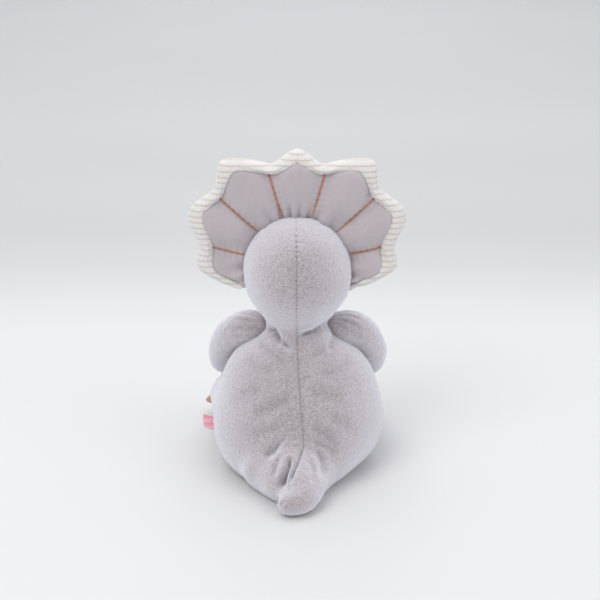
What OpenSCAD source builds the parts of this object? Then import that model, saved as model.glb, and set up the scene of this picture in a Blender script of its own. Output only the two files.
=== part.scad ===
// Seated stuffed dinosaur with a scalloped frill, measured in millimetres.
// +Z is up, the animal faces -Y and its left side is +X.
// The origin lies on the floor under the middle of the whole toy.

/* [Body] */

// Widest width of the body, across the hips
body_w = 130; // [124:1:136]
// How far the body reaches behind its core, near the floor
body_back = 64; // [60:1:67]
// How far the belly reaches in front of the core
body_front = 48; // [45:1:51]
// Height of the middle of the neck above the floor
neck_z = 111; // [109:1:112]
// Radius of the round stuffed neck
neck_r = 22; // [20:0.5:23]
// Thickness of the plush fabric with its pile
plush_t = 1.4; // [1:0.1:1.6]

/* [Head] */

// Height of the middle of the head ball above the floor
head_z = 157.5; // [155:0.5:160]
// Radius of the head ball
head_r = 39.5; // [38:0.5:40]
// How far the snout reaches in front of the middle of the head
snout_len = 74; // [66:1:78]
// Length of each horn over the eyes
brow_horn_len = 34; // [26:1:40]

/* [Frill] */

// Height of the middle scallop above the middle of the head
frill_top = 90.5; // [87:0.5:93]
// How far the upper side scallops reach from the middle of the head
frill_corner = 98.5; // [95:0.5:101]
// How far the outer side scallops reach from the middle of the head
frill_side = 90.5; // [88:0.5:93]
// Thickness of the padded frill between two stitch lines
frill_t = 9; // [7:0.5:10]

/* [Limbs] */

// Radius of an arm
arm_r = 13; // [12:0.5:13.5]
// Radius of a leg
leg_r = 19; // [17.5:0.5:19.5]
// How far the soles stand in front of the core
foot_y = 97; // [92:1:100]
// Radius of the thick end of the tail
tail_r = 18; // [17:0.5:18.5]
// Radius of the tip of the tail
tip_r = 10.5; // [9.5:0.5:11]

/* [Label] */

// Width of the woven label along the side seam
label_w = 14; // [12:0.5:16]
// How far the label stands out of the side seam
label_l = 11; // [9:0.5:12]

/* [Hidden] */

// play between a ball and the hollow it turns in
play = 1.3;
// space between a skin and the filling under it
ease = 0.1;
// the body stands a little in front of the middle, because the tail reaches far back
mid_y = -4;
lean = 5;
core = [0, mid_y + lean, 50];
head_c = [0, mid_y, head_z];
neck_c = [0, mid_y, neck_z];
// more play where the neck sinks into the head and the body
neck_play = 2;
frill_y = mid_y - 3;
shoulder = [36, mid_y - 8, neck_z - 4];
hip = [47, mid_y - 40, leg_r + 1.2];
tail_c = [0, mid_y + body_back + 12, tail_r + 1.4];
sole_c = [55, -foot_y, leg_r + 0.6];

// ---------- helpers ----------

function flat(l) = [for (r = l) for (p = r) p];

function unit(v) = v / norm(v);

function mix(a, b, t) = a * (1 - t) + b * t;

// smooth curve through a list of [place, value] pairs
function slope(k, i) =
    i == 0 ? (k[1][1] - k[0][1]) / (k[1][0] - k[0][0]) :
    i == len(k) - 1 ? (k[i][1] - k[i - 1][1]) / (k[i][0] - k[i - 1][0]) :
    (k[i + 1][1] - k[i - 1][1]) / (k[i + 1][0] - k[i - 1][0]);

function piece_of(k, x, i = 0) = i >= len(k) - 2 || x < k[i + 1][0] ? i : piece_of(k, x, i + 1);

function curve(k, x) =
    let (i = piece_of(k, x), h = k[i + 1][0] - k[i][0], t = (x - k[i][0]) / h)
    (2 * t * t * t - 3 * t * t + 1) * k[i][1] + (t * t * t - 2 * t * t + t) * h * slope(k, i)
    + (3 * t * t - 2 * t * t * t) * k[i + 1][1] + (t * t * t - t * t) * h * slope(k, i + 1);

// moves a point towards the core until it is outside a round hollow [centre, radius]
function dent(p, q, s) =
    let (m = p - s[0], d = q - p, c = m * m - s[1] * s[1], b = m * d, a = d * d)
    c >= 0 ? p : p + min(1, (sqrt(b * b - a * c) - b) / a) * d;

function dents(p, q, list, i = 0) = i >= len(list) ? p : dents(dent(p, q, list[i]), q, list, i + 1);

function volume_of(pts, faces) =
    let (v = [for (f = faces) pts[f[0]] * cross(pts[f[1]], pts[f[2]])])
    v * [for (f = faces) 1];

module closed(pts, faces) {
    turned = volume_of(pts, faces) > 0;
    polyhedron(points = pts, faces = [for (f = faces) turned ? [f[2], f[1], f[0]] : f]);
}

// A skin between an outer and an inner grid of points.
// wrap joins the last column to the first; p0 and p1 say that an end row is one point.
module skin(outer, inner, wrap = false, p0 = false, p1 = false) {
    n = len(outer);
    m = len(outer[0]);
    cols = wrap ? m : m - 1;
    function at(l, i, j) =
        l * n * m + i * m + ((p0 && i == 0) || (p1 && i == n - 1) ? 0 : j % m);
    faces = [
        for (i = [0 : n - 2]) for (j = [0 : cols - 1])
            let (a = at(0, i, j), b = at(0, i, j + 1), c = at(0, i + 1, j + 1), d = at(0, i + 1, j),
                e = at(1, i, j), f = at(1, i, j + 1), g = at(1, i + 1, j + 1), h = at(1, i + 1, j))
            each [if (a != b) [a, b, c], if (c != d) [a, c, d],
                if (e != f) [e, g, f], if (g != h) [e, h, g]],
        if (!p0) for (j = [0 : cols - 1])
            let (a = at(0, 0, j), b = at(0, 0, j + 1), e = at(1, 0, j), f = at(1, 0, j + 1))
            each [[b, a, e], [b, e, f]],
        if (!p1) for (j = [0 : cols - 1])
            let (d = at(0, n - 1, j), c = at(0, n - 1, j + 1), h = at(1, n - 1, j), g = at(1, n - 1, j + 1))
            each [[d, c, g], [d, g, h]],
        if (!wrap) for (i = [0 : n - 2])
            let (a = at(0, i, 0), d = at(0, i + 1, 0), e = at(1, i, 0), h = at(1, i + 1, 0))
            each [[a, d, h], [a, h, e]],
        if (!wrap) for (i = [0 : n - 2])
            let (b = at(0, i, m - 1), c = at(0, i + 1, m - 1), f = at(1, i, m - 1), g = at(1, i + 1, m - 1))
            each [[c, b, f], [c, f, g]]
    ];
    closed(concat(flat(outer), flat(inner)), faces);
}

// A filling: closed rings whose first and last row are single points.
module filling(rows) {
    n = len(rows);
    m = len(rows[0]);
    function at(i, j) = i * m + (i == 0 || i == n - 1 ? 0 : j % m);
    faces = [for (i = [0 : n - 2]) for (j = [0 : m - 1])
        let (a = at(i, j), b = at(i, j + 1), c = at(i + 1, j + 1), d = at(i + 1, j))
        each [if (a != b) [a, b, c], if (c != d) [a, c, d]]];
    closed(flat(rows), faces);
}

// smooth path through four points
function bez(p, t) =
    pow(1 - t, 3) * p[0] + 3 * pow(1 - t, 2) * t * p[1] + 3 * (1 - t) * t * t * p[2] + pow(t, 3) * p[3];

arm_pts = [shoulder, shoulder + [27, -6, -9], [69, mid_y - 38, 74], [44, mid_y - 66, 62]];

// ---------- torso ----------

torso_cols = 44;
torso_top = neck_z - 9;
half_w = body_w / 2;
width_k = [[0, 0.70 * half_w], [7, 0.875 * half_w], [17, 0.96 * half_w], [30, half_w],
    [45, 0.995 * half_w], [59, 0.945 * half_w], [70, 0.9 * half_w], [78, 0.845 * half_w],
    [86, 0.765 * half_w], [92, 0.68 * half_w], [97, 38], [torso_top, 30]];
back_k = [[0, 0.84 * body_back], [7, 0.95 * body_back], [17, body_back], [30, 0.975 * body_back],
    [45, 0.89 * body_back], [59, 0.8 * body_back], [70, 0.71 * body_back], [78, 0.64 * body_back],
    [86, 36], [92, 32.5], [97, 30], [torso_top, 27]];
front_k = [[0, 0.75 * body_front], [7, 0.9 * body_front], [17, 0.98 * body_front], [30, body_front],
    [45, body_front], [59, 0.95 * body_front], [70, 0.88 * body_front], [78, 0.83 * body_front],
    [86, 37], [92, 34], [97, 31.5], [torso_top, 28]];
torso_z = [0, 0, 0, 3, 8, 13, 19, 26, 33, 41, 50, 59, 68, 77, 84, 90, 95,
    torso_top - 3, torso_top, torso_top, torso_top, torso_top];
torso_s = [0, 0.5, 1, 1, 1, 1, 1, 1, 1, 1, 1, 1, 1, 1, 1, 1, 1, 1, 0.96, 0.68, 0.34, 0];
// rows of the grid where the seat panel ends
seat_row = 4;

function sockets(t) = [
    [neck_c, neck_r + neck_play + t],
    for (k = [0 : 4]) each let (c = bez(arm_pts, k * 0.1), w = arm_r + play + 0.2 + t)
        [[c, w], [[-c[0], c[1], c[2]], w]],
    [hip, leg_r + play + t], [[-hip[0], hip[1], hip[2]], leg_r + play + t],
    [tail_c, tail_r + play + t]];

// one point of the body surface, t inside the outer skin
function torso_p(i, j, t) =
    let (a = 360 * j / torso_cols, z = torso_z[i], s = torso_s[i],
        zz = min(max(z, 0), torso_top),
        // the arms press the front of the body in
        pressed = sin(a) < 0 ? 1 - 0.13 * pow(sin(a), 2) * (z > 50 ? 1 : 0.3) : 1,
        rx = (curve(width_k, zz) * pressed - t) * s,
        ry = ((sin(a) > 0 ? curve(back_k, zz) : curve(front_k, zz)) - t) * s,
        base = [rx * cos(a), mid_y + lean * (1 - z / neck_z) + ry * sin(a),
            z < 3 ? z + t : z > torso_top - 1 ? z - t : z])
    dents(base, core, sockets(t));

function torso_grid(i0, i1, j0, j1, t) =
    [for (i = [i0 : i1]) [for (j = [j0 : j1]) torso_p(i, j, t)]];

top_row = len(torso_z) - 1;

module torso_panel(j0, j1) {
    skin(torso_grid(seat_row, top_row, j0, j1, 0), torso_grid(seat_row, top_row, j0, j1, plush_t),
        p1 = true);
}

module torso_back_left() {
    color([0.72, 0.68, 0.73]) torso_panel(-6, 11);
}

module torso_back_right() {
    color([0.72, 0.68, 0.73]) torso_panel(11, 28);
}

module belly_panel() {
    color([0.88, 0.84, 0.78]) torso_panel(28, 38);
}

module seat_panel() {
    color([0.72, 0.68, 0.73])
    skin(torso_grid(0, seat_row, 0, torso_cols - 1, 0),
        torso_grid(0, seat_row, 0, torso_cols - 1, plush_t), wrap = true, p0 = true);
}

// the filling stands on the pellet pouch
pouch_top = 15;

module torso_stuffing() {
    t = plush_t + ease;
    low = [for (i = [5 : top_row]) [for (j = [0 : torso_cols - 1]) torso_p(i, j, t)]];
    z0 = pouch_top + 0.4;
    ring = [for (p = low[1]) [p[0], p[1], p[2]]];
    base = [for (p = ring) [p[0] * 0.9, core[1] + (p[1] - core[1]) * 0.9, z0]];
    middle = [for (p = base) [0, core[1], z0]];
    color([0.95, 0.95, 0.94]) filling(concat([middle, base], [for (i = [1 : len(low) - 1]) low[i]]));
}

module pellet_pouch() {
    function ring(z, s) = [for (j = [0 : torso_cols - 1])
        let (p = torso_p(4, j, plush_t + 1)) [p[0] * s, core[1] + (p[1] - core[1]) * s, z]];
    color([0.93, 0.92, 0.88])
    filling([ring(2, 0), ring(2, 0.72), ring(5, 0.86), ring(10, 0.9), ring(13.5, 0.84),
        ring(pouch_top, 0.7), ring(pouch_top, 0)]);
}

// ---------- neck ----------

module neck_cover() {
    color([0.72, 0.68, 0.73]) difference() {
        translate(neck_c) sphere(r = neck_r, $fn = 64);
        translate(neck_c) sphere(r = neck_r - plush_t, $fn = 64);
    }
}

module neck_stuffing() {
    color([0.95, 0.95, 0.94]) translate(neck_c) sphere(r = neck_r - plush_t - ease, $fn = 64);
}

// ---------- head ----------

head_cols = 32;
head_rows = 20;
// row where the back of the head ends at the frill
frill_row = 10;

// distance from the head centre to the far side of an egg shape along a direction
function egg(d, c, r, t) =
    let (rr = [r[0] - t, r[1] - t, r[2] - t],
        u = [d[0] / rr[0], d[1] / rr[1], d[2] / rr[2]],
        m = [-c[0] / rr[0], -c[1] / rr[1], -c[2] / rr[2]],
        a = u * u, b = u * m, k = m * m - 1, q = b * b - a * k)
    q <= 0 ? 0 : max(0, (sqrt(q) - b) / a);

function head_reach(d, t) =
    let (ball = head_r - t,
        snout = egg(d, [0, -snout_len + 33, -9], [25, 33, 21], t),
        cheeks = egg(d, [0, -22, -8], [33, 26, 26], t))
    pow(pow(ball, 9) + pow(snout, 9) + pow(cheeks * 0.97, 9) * (d[1] < -0.45 ? 1 : 0), 1 / 9);

function head_p(i, j, t) =
    let (th = 180 * i / head_rows, a = 360 * j / head_cols + 90,
        d = [sin(th) * cos(a), cos(th), sin(th) * sin(a)],
        r = d[1] < -0.42 ? head_reach(d, t) : head_r - t)
    dent(head_c + r * d, head_c, [neck_c, neck_r + neck_play + t]);

function head_grid(i0, i1, j0, j1, t) = [for (i = [i0 : i1]) [for (j = [j0 : j1]) head_p(i, j, t)]];

module head_back_left() {
    color([0.72, 0.68, 0.73])
    skin(head_grid(0, frill_row, 16, 32, 0), head_grid(0, frill_row, 16, 32, plush_t), p0 = true);
}

module head_back_right() {
    color([0.72, 0.68, 0.73])
    skin(head_grid(0, frill_row, 0, 16, 0), head_grid(0, frill_row, 0, 16, plush_t), p0 = true);
}

module face_left() {
    color([0.72, 0.68, 0.73])
    skin(head_grid(frill_row, head_rows, 21, 32, 0),
        head_grid(frill_row, head_rows, 21, 32, plush_t), p1 = true);
}

module face_right() {
    color([0.72, 0.68, 0.73])
    skin(head_grid(frill_row, head_rows, 0, 11, 0),
        head_grid(frill_row, head_rows, 0, 11, plush_t), p1 = true);
}

module chin_panel() {
    color([0.88, 0.84, 0.78])
    skin(head_grid(frill_row, head_rows, 11, 21, 0),
        head_grid(frill_row, head_rows, 11, 21, plush_t), p1 = true);
}

module head_stuffing() {
    t = plush_t + ease;
    color([0.95, 0.95, 0.94])
    filling([for (i = [0 : head_rows]) [for (j = [0 : head_cols - 1]) head_p(i, j, t)]]);
}

// stands a shape on the head where a direction leaves it, with +Z outwards
module on_head(d, lift, axis = [0, 0, 0]) {
    u = unit(d);
    across = unit(cross(u, [0, 0.3, 1]));
    over = cross(across, u);
    p = head_reach(u, 0) * u;
    ua = unit(u + 0.03 * across);
    ub = unit(u + 0.03 * over);
    side = unit(cross(head_reach(ua, 0) * ua - p, head_reach(ub, 0) * ub - p));
    n = norm(axis) > 0 ? unit(axis) : side * u > 0 ? side : -side;
    translate(head_c + p + lift * n) rotate([0, acos(n[2]), atan2(n[1], n[0])]) children();
}

module horn(len, r) {
    rotate_extrude($fn = 40)
    polygon([[0, 0], [r * 0.96, 0], [r, 1], [r * 0.9, len * 0.25], [r * 0.68, len * 0.52],
        [r * 0.42, len * 0.78], [r * 0.24, len * 0.93], [r * 0.1, len * 0.99], [0, len]]);
}

module brow_horn_left() {
    color([0.74, 0.53, 0.44]) on_head([0.47, -0.6, 0.65], 0.3) horn(brow_horn_len, 8);
}

module brow_horn_right() {
    color([0.74, 0.53, 0.44]) on_head([-0.47, -0.6, 0.65], 0.3) horn(brow_horn_len, 8);
}

module nose_horn() {
    color([0.74, 0.53, 0.44]) on_head([0, -0.97, 0.1], 0.6) horn(15, 5.5);
}

module eye_left() {
    color([0.16, 0.13, 0.13]) on_head([0.62, -0.78, 0.08], 0.5) cylinder(r = 3.6, h = 1.6, $fn = 40);
}

module eye_right() {
    color([0.16, 0.13, 0.13]) on_head([-0.62, -0.78, 0.08], 0.5) cylinder(r = 3.6, h = 1.6, $fn = 40);
}

module nostrils() {
    color([0.42, 0.36, 0.38])
    for (s = [-1, 1]) on_head([s * 0.17, -0.97, -0.04], 0.4) cylinder(r = 1.8, h = 0.8, $fn = 32);
}

// ---------- frill ----------

frill_cols = 76;
frill_end = 113;
frill_in = head_r + 0.9;
// the outline and the seam of the back panel: angle from the top, radius
outer_k = [[0, frill_top], [5, frill_top - 3.5], [9, frill_top - 7.3], [13.5, 81.2], [20, 86.3],
    [26, frill_corner - 6.5], [31, frill_corner - 1.7], [34.5, frill_corner],
    [37, frill_corner - 2], [40, frill_corner - 7], [43, 87], [46, 85.4], [52, frill_side - 3],
    [58, frill_side], [62.5, frill_side - 0.2], [67, frill_side - 3.5], [70.5, 81.8],
    [74, 76.8], [78, 74.2], [83, 74.3], [88, 75.2], [92, 72.6], [97, 65], [104, 54.8],
    [frill_end, head_r + 5]];
seam_k = [[0, 81], [6.5, 76], [14.5, 73], [22, 79], [28.5, 85.5], [32.5, 86.8], [38.5, 82.5],
    [46, 76.9], [53, 79.2], [59, 80.5], [64, 75.6], [69, 69], [75, 64], [80, 63],
    [87, 62.6], [93, 59], [98.5, 50.6], [105, 43.5], [frill_end, head_r + 2.2]];
// angles of the stitch lines
line_a = [16, 47, 76];

function frill_out(angle) = curve(outer_k, abs(angle));

// half thickness of the frill between the head (0) and the edge (1), thin at the stitch lines
function near_line(a) = min([for (k = line_a) abs(abs(a) - k)]);

function frill_half(a, s, t) =
    let (puff = 0.45 + 0.55 * pow(min(1, near_line(a) / 11), 0.6),
        side = min(1, (frill_end - abs(a)) / 9),
        edge = sqrt(max(0, 1 - pow(max(0, (s - 0.8) / 0.2), 2))))
    max(0.35, frill_t / 2 * mix(1, puff, 1 - pow(2 * s - 1, 4)) * (0.3 + 0.7 * side) * (0.25 + 0.75 * edge) - t);

function frill_a(j) = -frill_end + 2 * frill_end * j / frill_cols;

// a point of the frill; side is 1 on the back and -1 on the front
function frill_p(j, s, t, side) =
    let (a = frill_a(j), r = mix(frill_in, frill_out(a), s), h = frill_half(a, s, t))
    [r * sin(a), frill_y + side * h, head_z + r * cos(a)];

// share of the way out where the back panel is sewn to the border
function frill_cut(j) =
    (curve(seam_k, abs(frill_a(j))) - frill_in) / (frill_out(frill_a(j)) - frill_in);

fs = 0.9;

module frill_back_panel() {
    color([0.68, 0.65, 0.68])
    skin([for (j = [0 : frill_cols]) [for (k = [0 : 6]) frill_p(j, frill_cut(j) * k / 6, 0, 1)]],
        [for (j = [0 : frill_cols]) [for (k = [0 : 6]) frill_p(j, frill_cut(j) * k / 6, fs, 1)]]);
}

module frill_border() {
    color([0.86, 0.82, 0.76])
    skin([for (j = [0 : frill_cols]) [for (k = [0 : 3])
            frill_p(j, mix(frill_cut(j), 1, k / 3), 0, 1)]],
        [for (j = [0 : frill_cols]) [for (k = [0 : 3])
            let (s = mix(frill_cut(j), 1, k / 3)) frill_p(j, min(s, 0.985), fs, 1)]]);
}

module frill_front_panel() {
    color([0.86, 0.82, 0.76])
    skin([for (j = [0 : frill_cols]) [for (k = [0 : 6]) frill_p(j, k < 6 ? 0.95 * k / 5 : 1, 0, -1)]],
        [for (j = [0 : frill_cols]) [for (k = [0 : 6]) frill_p(j, k < 6 ? 0.95 * k / 5 : 0.985, fs, -1)]]);
}

module frill_wadding() {
    // rings around the section, going along the frill from one end to the other
    n = 5;
    lo = 0.03;
    hi = 0.95;
    gap = fs + 0.4;
    function ring(j) = concat(
        [for (k = [0 : n]) let (s = mix(lo, hi, k / n)) frill_p(j, s, gap, 1)],
        [for (k = [n : -1 : 0]) let (s = mix(lo, hi, k / n)) frill_p(j, s, gap, -1)]);
    function middle(r) = [for (p = r) (r[0] + r[n] + r[n + 1] + r[2 * n + 1]) / 4];
    body = [for (j = [1 : frill_cols - 1]) ring(j)];
    color([0.95, 0.95, 0.94])
    filling(concat([middle(body[0])], body, [middle(body[len(body) - 1])]));
}

stitch_l = 3.1;
stitch_pitch = 4;

module frill_stitching() {
    color([0.7, 0.42, 0.3])
    for (side = [-1, 1]) for (k = line_a) {
        a = side * k;
        r1 = curve(seam_k, k) - 0.5;
        count = floor((r1 - frill_in - 3) / stitch_pitch);
        for (i = [0 : count - 1]) {
            r = frill_in + 3 + (i + 0.5) * stitch_pitch;
            s = (r - frill_in) / (frill_out(a) - frill_in);
            h = max(frill_half(a - 3, s, 0), frill_half(a + 3, s, 0)) + 0.95;
            translate([r * sin(a), frill_y + h, head_z + r * cos(a)])
            rotate([0, a, 0]) translate([0, 0, -stitch_l / 2])
            cylinder(r = 0.55, h = stitch_l, $fn = 10);
        }
    }
}

// ---------- limbs ----------

ring_n = 18;

// a curved round limb: list of [centre, radius], round at the start
function dir_at(path, i) =
    i == 0 ? unit(path[1][0] - path[0][0]) :
    i == len(path) - 1 ? unit(path[i][0] - path[i - 1][0]) :
    unit(path[i + 1][0] - path[i - 1][0]);

function hoop(c, d, r, up) =
    let (u = unit(cross(d, up)), v = cross(u, d))
    [for (j = [0 : ring_n - 1]) c + r * (cos(360 * j / ring_n) * u + sin(360 * j / ring_n) * v)];

// rows of a limb made t smaller all round; the first row is one point
function limb_rows(path, t, up, end_round) =
    let (n = len(path) - 1, d0 = dir_at(path, 0), d1 = dir_at(path, n),
        c0 = path[0][0], c1 = path[n][0], r0 = path[0][1] - t, r1 = path[n][1] - t)
    concat(
        [for (k = [0 : 4]) hoop(c0 - d0 * r0 * cos(18 * k), d0, r0 * sin(18 * k), up)],
        [for (i = [0 : n]) hoop(path[i][0], dir_at(path, i), path[i][1] - t, up)],
        end_round > 0 ?
            [for (k = [1 : 5]) hoop(c1 + d1 * (end_round - t) * sin(18 * k), d1, r1 * cos(18 * k), up)] : []);

function tube_path(p, r_of, n) = [for (i = [0 : n]) [bez(p, i / n), r_of[0] * pow(1 - i / n, 2)
    + 2 * r_of[1] * (1 - i / n) * i / n + r_of[2] * pow(i / n, 2)]];

arm_path = tube_path(arm_pts, [arm_r, arm_r + 0.6, arm_r + 0.6], 8);
arm_up = [0.2, -0.4, 1];

// a cover is left open where it is sewn to the body
function open_end(rows) = [for (i = [1 : len(rows) - 1]) rows[i]];

module arm_skin() {
    skin(open_end(limb_rows(arm_path, 0, arm_up, arm_r)),
        open_end(limb_rows(arm_path, plush_t, arm_up, arm_r)), wrap = true, p1 = true);
}

module arm_fill() {
    filling(limb_rows(arm_path, plush_t + ease, arm_up, arm_r));
}

module arm_left() {
    color([0.72, 0.68, 0.73]) arm_skin();
}

module arm_left_stuffing() {
    color([0.95, 0.95, 0.94]) arm_fill();
}

module arm_right() {
    color([0.72, 0.68, 0.73]) mirror([1, 0, 0]) arm_skin();
}

module arm_right_stuffing() {
    color([0.95, 0.95, 0.94]) mirror([1, 0, 0]) arm_fill();
}

leg_dir = unit(sole_c - hip);
sole_r = leg_r - 3;
leg_path = concat(
    tube_path([hip, mix(hip, sole_c, 0.3), mix(hip, sole_c, 0.6), sole_c - leg_dir * 5],
        [leg_r, leg_r - 1, leg_r], 6),
    [[sole_c - leg_dir * 2, leg_r - 1.2], [sole_c, sole_r]]);
leg_up = [0, 0, 1];

module leg_skin() {
    skin(open_end(limb_rows(leg_path, 0, leg_up, 0)),
        open_end(limb_rows(leg_path, plush_t, leg_up, 0)), wrap = true);
}

module leg_fill() {
    rows = limb_rows(leg_path, plush_t + ease, leg_up, 0);
    color([0.95, 0.95, 0.94]) filling(concat(rows, [[for (p = rows[0]) sole_c]]));
}

module sole_disc() {
    color([0.88, 0.84, 0.78]) translate(sole_c + leg_dir * 0.1)
    rotate([0, acos(leg_dir[2]), atan2(leg_dir[1], leg_dir[0])]) cylinder(r = sole_r, h = 1.4, $fn = 48);
}

// three pointed claws around the outer and upper edge of the foot
module claw_set() {
    side = unit(cross(leg_dir, leg_up));
    over = cross(side, leg_dir);
    for (a = [-12, 38, 88]) {
        d = cos(a) * -side + sin(a) * over;
        e = unit(d + leg_dir * 0.25);
        translate(sole_c - leg_dir * 5.5 + d * (leg_r + 0.9))
        rotate([0, acos(e[2]), atan2(e[1], e[0])]) horn(8, 4);
    }
}

module leg_left() {
    color([0.72, 0.68, 0.73]) leg_skin();
}

module leg_left_stuffing() {
    leg_fill();
}

module sole_left() {
    sole_disc();
}

module claws_left() {
    color([0.74, 0.53, 0.44]) claw_set();
}

module leg_right() {
    color([0.72, 0.68, 0.73]) mirror([1, 0, 0]) leg_skin();
}

module leg_right_stuffing() {
    mirror([1, 0, 0]) leg_fill();
}

module sole_right() {
    mirror([1, 0, 0]) sole_disc();
}

module claws_right() {
    color([0.74, 0.53, 0.44]) mirror([1, 0, 0]) claw_set();
}

tail_tip = [8, tail_c[1] + 22, tip_r + 0.6];
tail_path = tube_path([tail_c, tail_c + [-2, 9, -2], [-4, tail_c[1] + 18, tip_r + 3], tail_tip],
    [tail_r, tail_r * 0.94, tip_r], 6);

module tail_cover() {
    color([0.72, 0.68, 0.73])
    skin(open_end(limb_rows(tail_path, 0, leg_up, tip_r)),
        open_end(limb_rows(tail_path, plush_t, leg_up, tip_r)), wrap = true, p1 = true);
}

module tail_stuffing() {
    color([0.95, 0.95, 0.94]) filling(limb_rows(tail_path, plush_t + ease, leg_up, tip_r));
}

// ---------- label ----------

label_root = [half_w + 1.6, mid_y + 2, 28];

module side_label() {
    color([0.86, 0.66, 0.68]) translate(label_root)
    translate([0, -0.6, -label_w / 2]) cube([label_l, 1.2, label_w]);
}

torso_back_left();
torso_back_right();
belly_panel();
seat_panel();
torso_stuffing();
pellet_pouch();
neck_cover();
neck_stuffing();
head_back_left();
head_back_right();
face_left();
face_right();
chin_panel();
head_stuffing();
brow_horn_left();
brow_horn_right();
nose_horn();
eye_left();
eye_right();
nostrils();
frill_back_panel();
frill_border();
frill_front_panel();
frill_wadding();
frill_stitching();
arm_left();
arm_left_stuffing();
arm_right();
arm_right_stuffing();
leg_left();
leg_left_stuffing();
sole_left();
claws_left();
leg_right();
leg_right_stuffing();
sole_right();
claws_right();
tail_cover();
tail_stuffing();
side_label();
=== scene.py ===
import math

import bmesh
import bpy
import numpy as np
from mathutils import Matrix, Vector
from mathutils.bvhtree import BVHTree


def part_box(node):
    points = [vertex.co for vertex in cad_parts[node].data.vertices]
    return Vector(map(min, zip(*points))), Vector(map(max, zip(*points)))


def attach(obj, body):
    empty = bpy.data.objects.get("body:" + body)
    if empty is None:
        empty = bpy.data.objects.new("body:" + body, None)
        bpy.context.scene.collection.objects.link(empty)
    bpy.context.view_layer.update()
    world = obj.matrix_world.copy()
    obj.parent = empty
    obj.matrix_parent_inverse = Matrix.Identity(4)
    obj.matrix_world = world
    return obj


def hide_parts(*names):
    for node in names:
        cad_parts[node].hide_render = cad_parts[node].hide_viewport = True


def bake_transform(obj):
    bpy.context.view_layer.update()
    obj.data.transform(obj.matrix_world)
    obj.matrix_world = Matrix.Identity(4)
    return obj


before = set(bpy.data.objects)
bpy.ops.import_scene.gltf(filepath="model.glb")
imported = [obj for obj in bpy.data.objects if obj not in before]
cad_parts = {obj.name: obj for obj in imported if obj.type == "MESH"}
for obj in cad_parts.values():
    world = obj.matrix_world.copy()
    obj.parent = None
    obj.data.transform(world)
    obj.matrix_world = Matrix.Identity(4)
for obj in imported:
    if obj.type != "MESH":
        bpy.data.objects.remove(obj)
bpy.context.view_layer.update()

bl_info = {
    "name": "Seated Stuffed Dinosaur",
    "version": (1, 0, 0),
    "blender": (4, 5, 0),
    "location": "View3D > Sidebar > Stuffed Dinosaur",
    "description": "Sews the skins of a seated stuffed dinosaur over its frame",
    "category": "Object",
}

# Places taken from the frame, in metres.
HEAD_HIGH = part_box("head_back_left")[1]
HEAD_R = HEAD_HIGH[0]
MID_Y = HEAD_HIGH[1] - HEAD_R
HEAD_C = Vector((0.0, MID_Y, HEAD_HIGH[2] - HEAD_R))
NECK_LOW, NECK_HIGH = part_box("neck_cover")
NECK_Z = (NECK_LOW[2] + NECK_HIGH[2]) / 2
FRILL_Y = (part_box("frill_wadding")[0][1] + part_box("frill_wadding")[1][1]) / 2
LABEL_LOW, LABEL_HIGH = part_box("side_label")
MM = 0.001


# ------------------------------------------------------------------ settings


class PlushColours(bpy.types.PropertyGroup):
    """Colours of the fabrics"""

    plush: bpy.props.FloatVectorProperty(
        name="Plush", description="Short pile on the body, head, arms, legs and tail",
        subtype="COLOR", size=3, min=0, max=1, default=(0.54, 0.496, 0.522))
    # The darker tone of the pile's grain; scaled down, it is also the painted shade in creases and seams.
    plush_shade: bpy.props.FloatVectorProperty(
        name="Plush Shade", description="Roots of the pile, seen in the nap and the creases",
        subtype="COLOR", size=3, min=0, max=1, default=(0.29, 0.258, 0.273))
    cotton: bpy.props.FloatVectorProperty(
        name="Smooth Cotton", description="Back panel of the frill",
        subtype="COLOR", size=3, min=0, max=1, default=(0.435, 0.392, 0.415))
    velour: bpy.props.FloatVectorProperty(
        name="Velour", description="Pale ground of the striped velour",
        subtype="COLOR", size=3, min=0, max=1, default=(0.76, 0.745, 0.735))
    stripe: bpy.props.FloatVectorProperty(
        name="Stripe", description="Woven stripes in the velour",
        subtype="COLOR", size=3, min=0, max=1, default=(0.52, 0.42, 0.34))
    thread: bpy.props.FloatVectorProperty(
        name="Thread", description="Thick twisted stitches on the frill",
        subtype="COLOR", size=3, min=0, max=1, default=(0.66, 0.26, 0.13))
    suede: bpy.props.FloatVectorProperty(
        name="Suede", description="Horns and claws",
        subtype="COLOR", size=3, min=0, max=1, default=(0.56, 0.33, 0.25))
    ribbon: bpy.props.FloatVectorProperty(
        name="Ribbon", description="Woven label in the side seam",
        subtype="COLOR", size=3, min=0, max=1, default=(0.92, 0.52, 0.58))


class PlushSizes(bpy.types.PropertyGroup):
    """Sizes of the sewn details"""

    stripe_pitch: bpy.props.FloatProperty(
        name="Stripe Pitch", description="Distance between two stripes of the velour",
        default=4.25 * MM, min=2 * MM, max=8 * MM, unit="LENGTH", subtype="DISTANCE")
    stripe_width: bpy.props.FloatProperty(
        name="Stripe Width", description="Width of one stripe",
        default=1.05 * MM, min=0.4 * MM, max=3 * MM, unit="LENGTH", subtype="DISTANCE")
    stitch_pitch: bpy.props.FloatProperty(
        name="Stitch Pitch", description="Length of one backstitch on the frill",
        default=2.55 * MM, min=1.5 * MM, max=6 * MM, unit="LENGTH", subtype="DISTANCE")
    stitch_radius: bpy.props.FloatProperty(
        name="Stitch Radius", description="Radius of the twisted thread",
        default=0.74 * MM, min=0.3 * MM, max=1.2 * MM, unit="LENGTH", subtype="DISTANCE")
    pile: bpy.props.FloatProperty(
        name="Pile Roughness", description="How far single tufts of the pile stand proud",
        default=0.55 * MM, min=0.0, max=1.5 * MM, unit="LENGTH", subtype="DISTANCE")
    frill_pressure: bpy.props.FloatProperty(
        name="Frill Filling", description="Pressure of the filling that puffs the frill",
        default=3.2, min=0.5, max=8.0)


def colours():
    return bpy.context.scene.plush_colours


def sizes():
    return bpy.context.scene.plush_sizes


# ------------------------------------------------------------------ helpers


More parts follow.
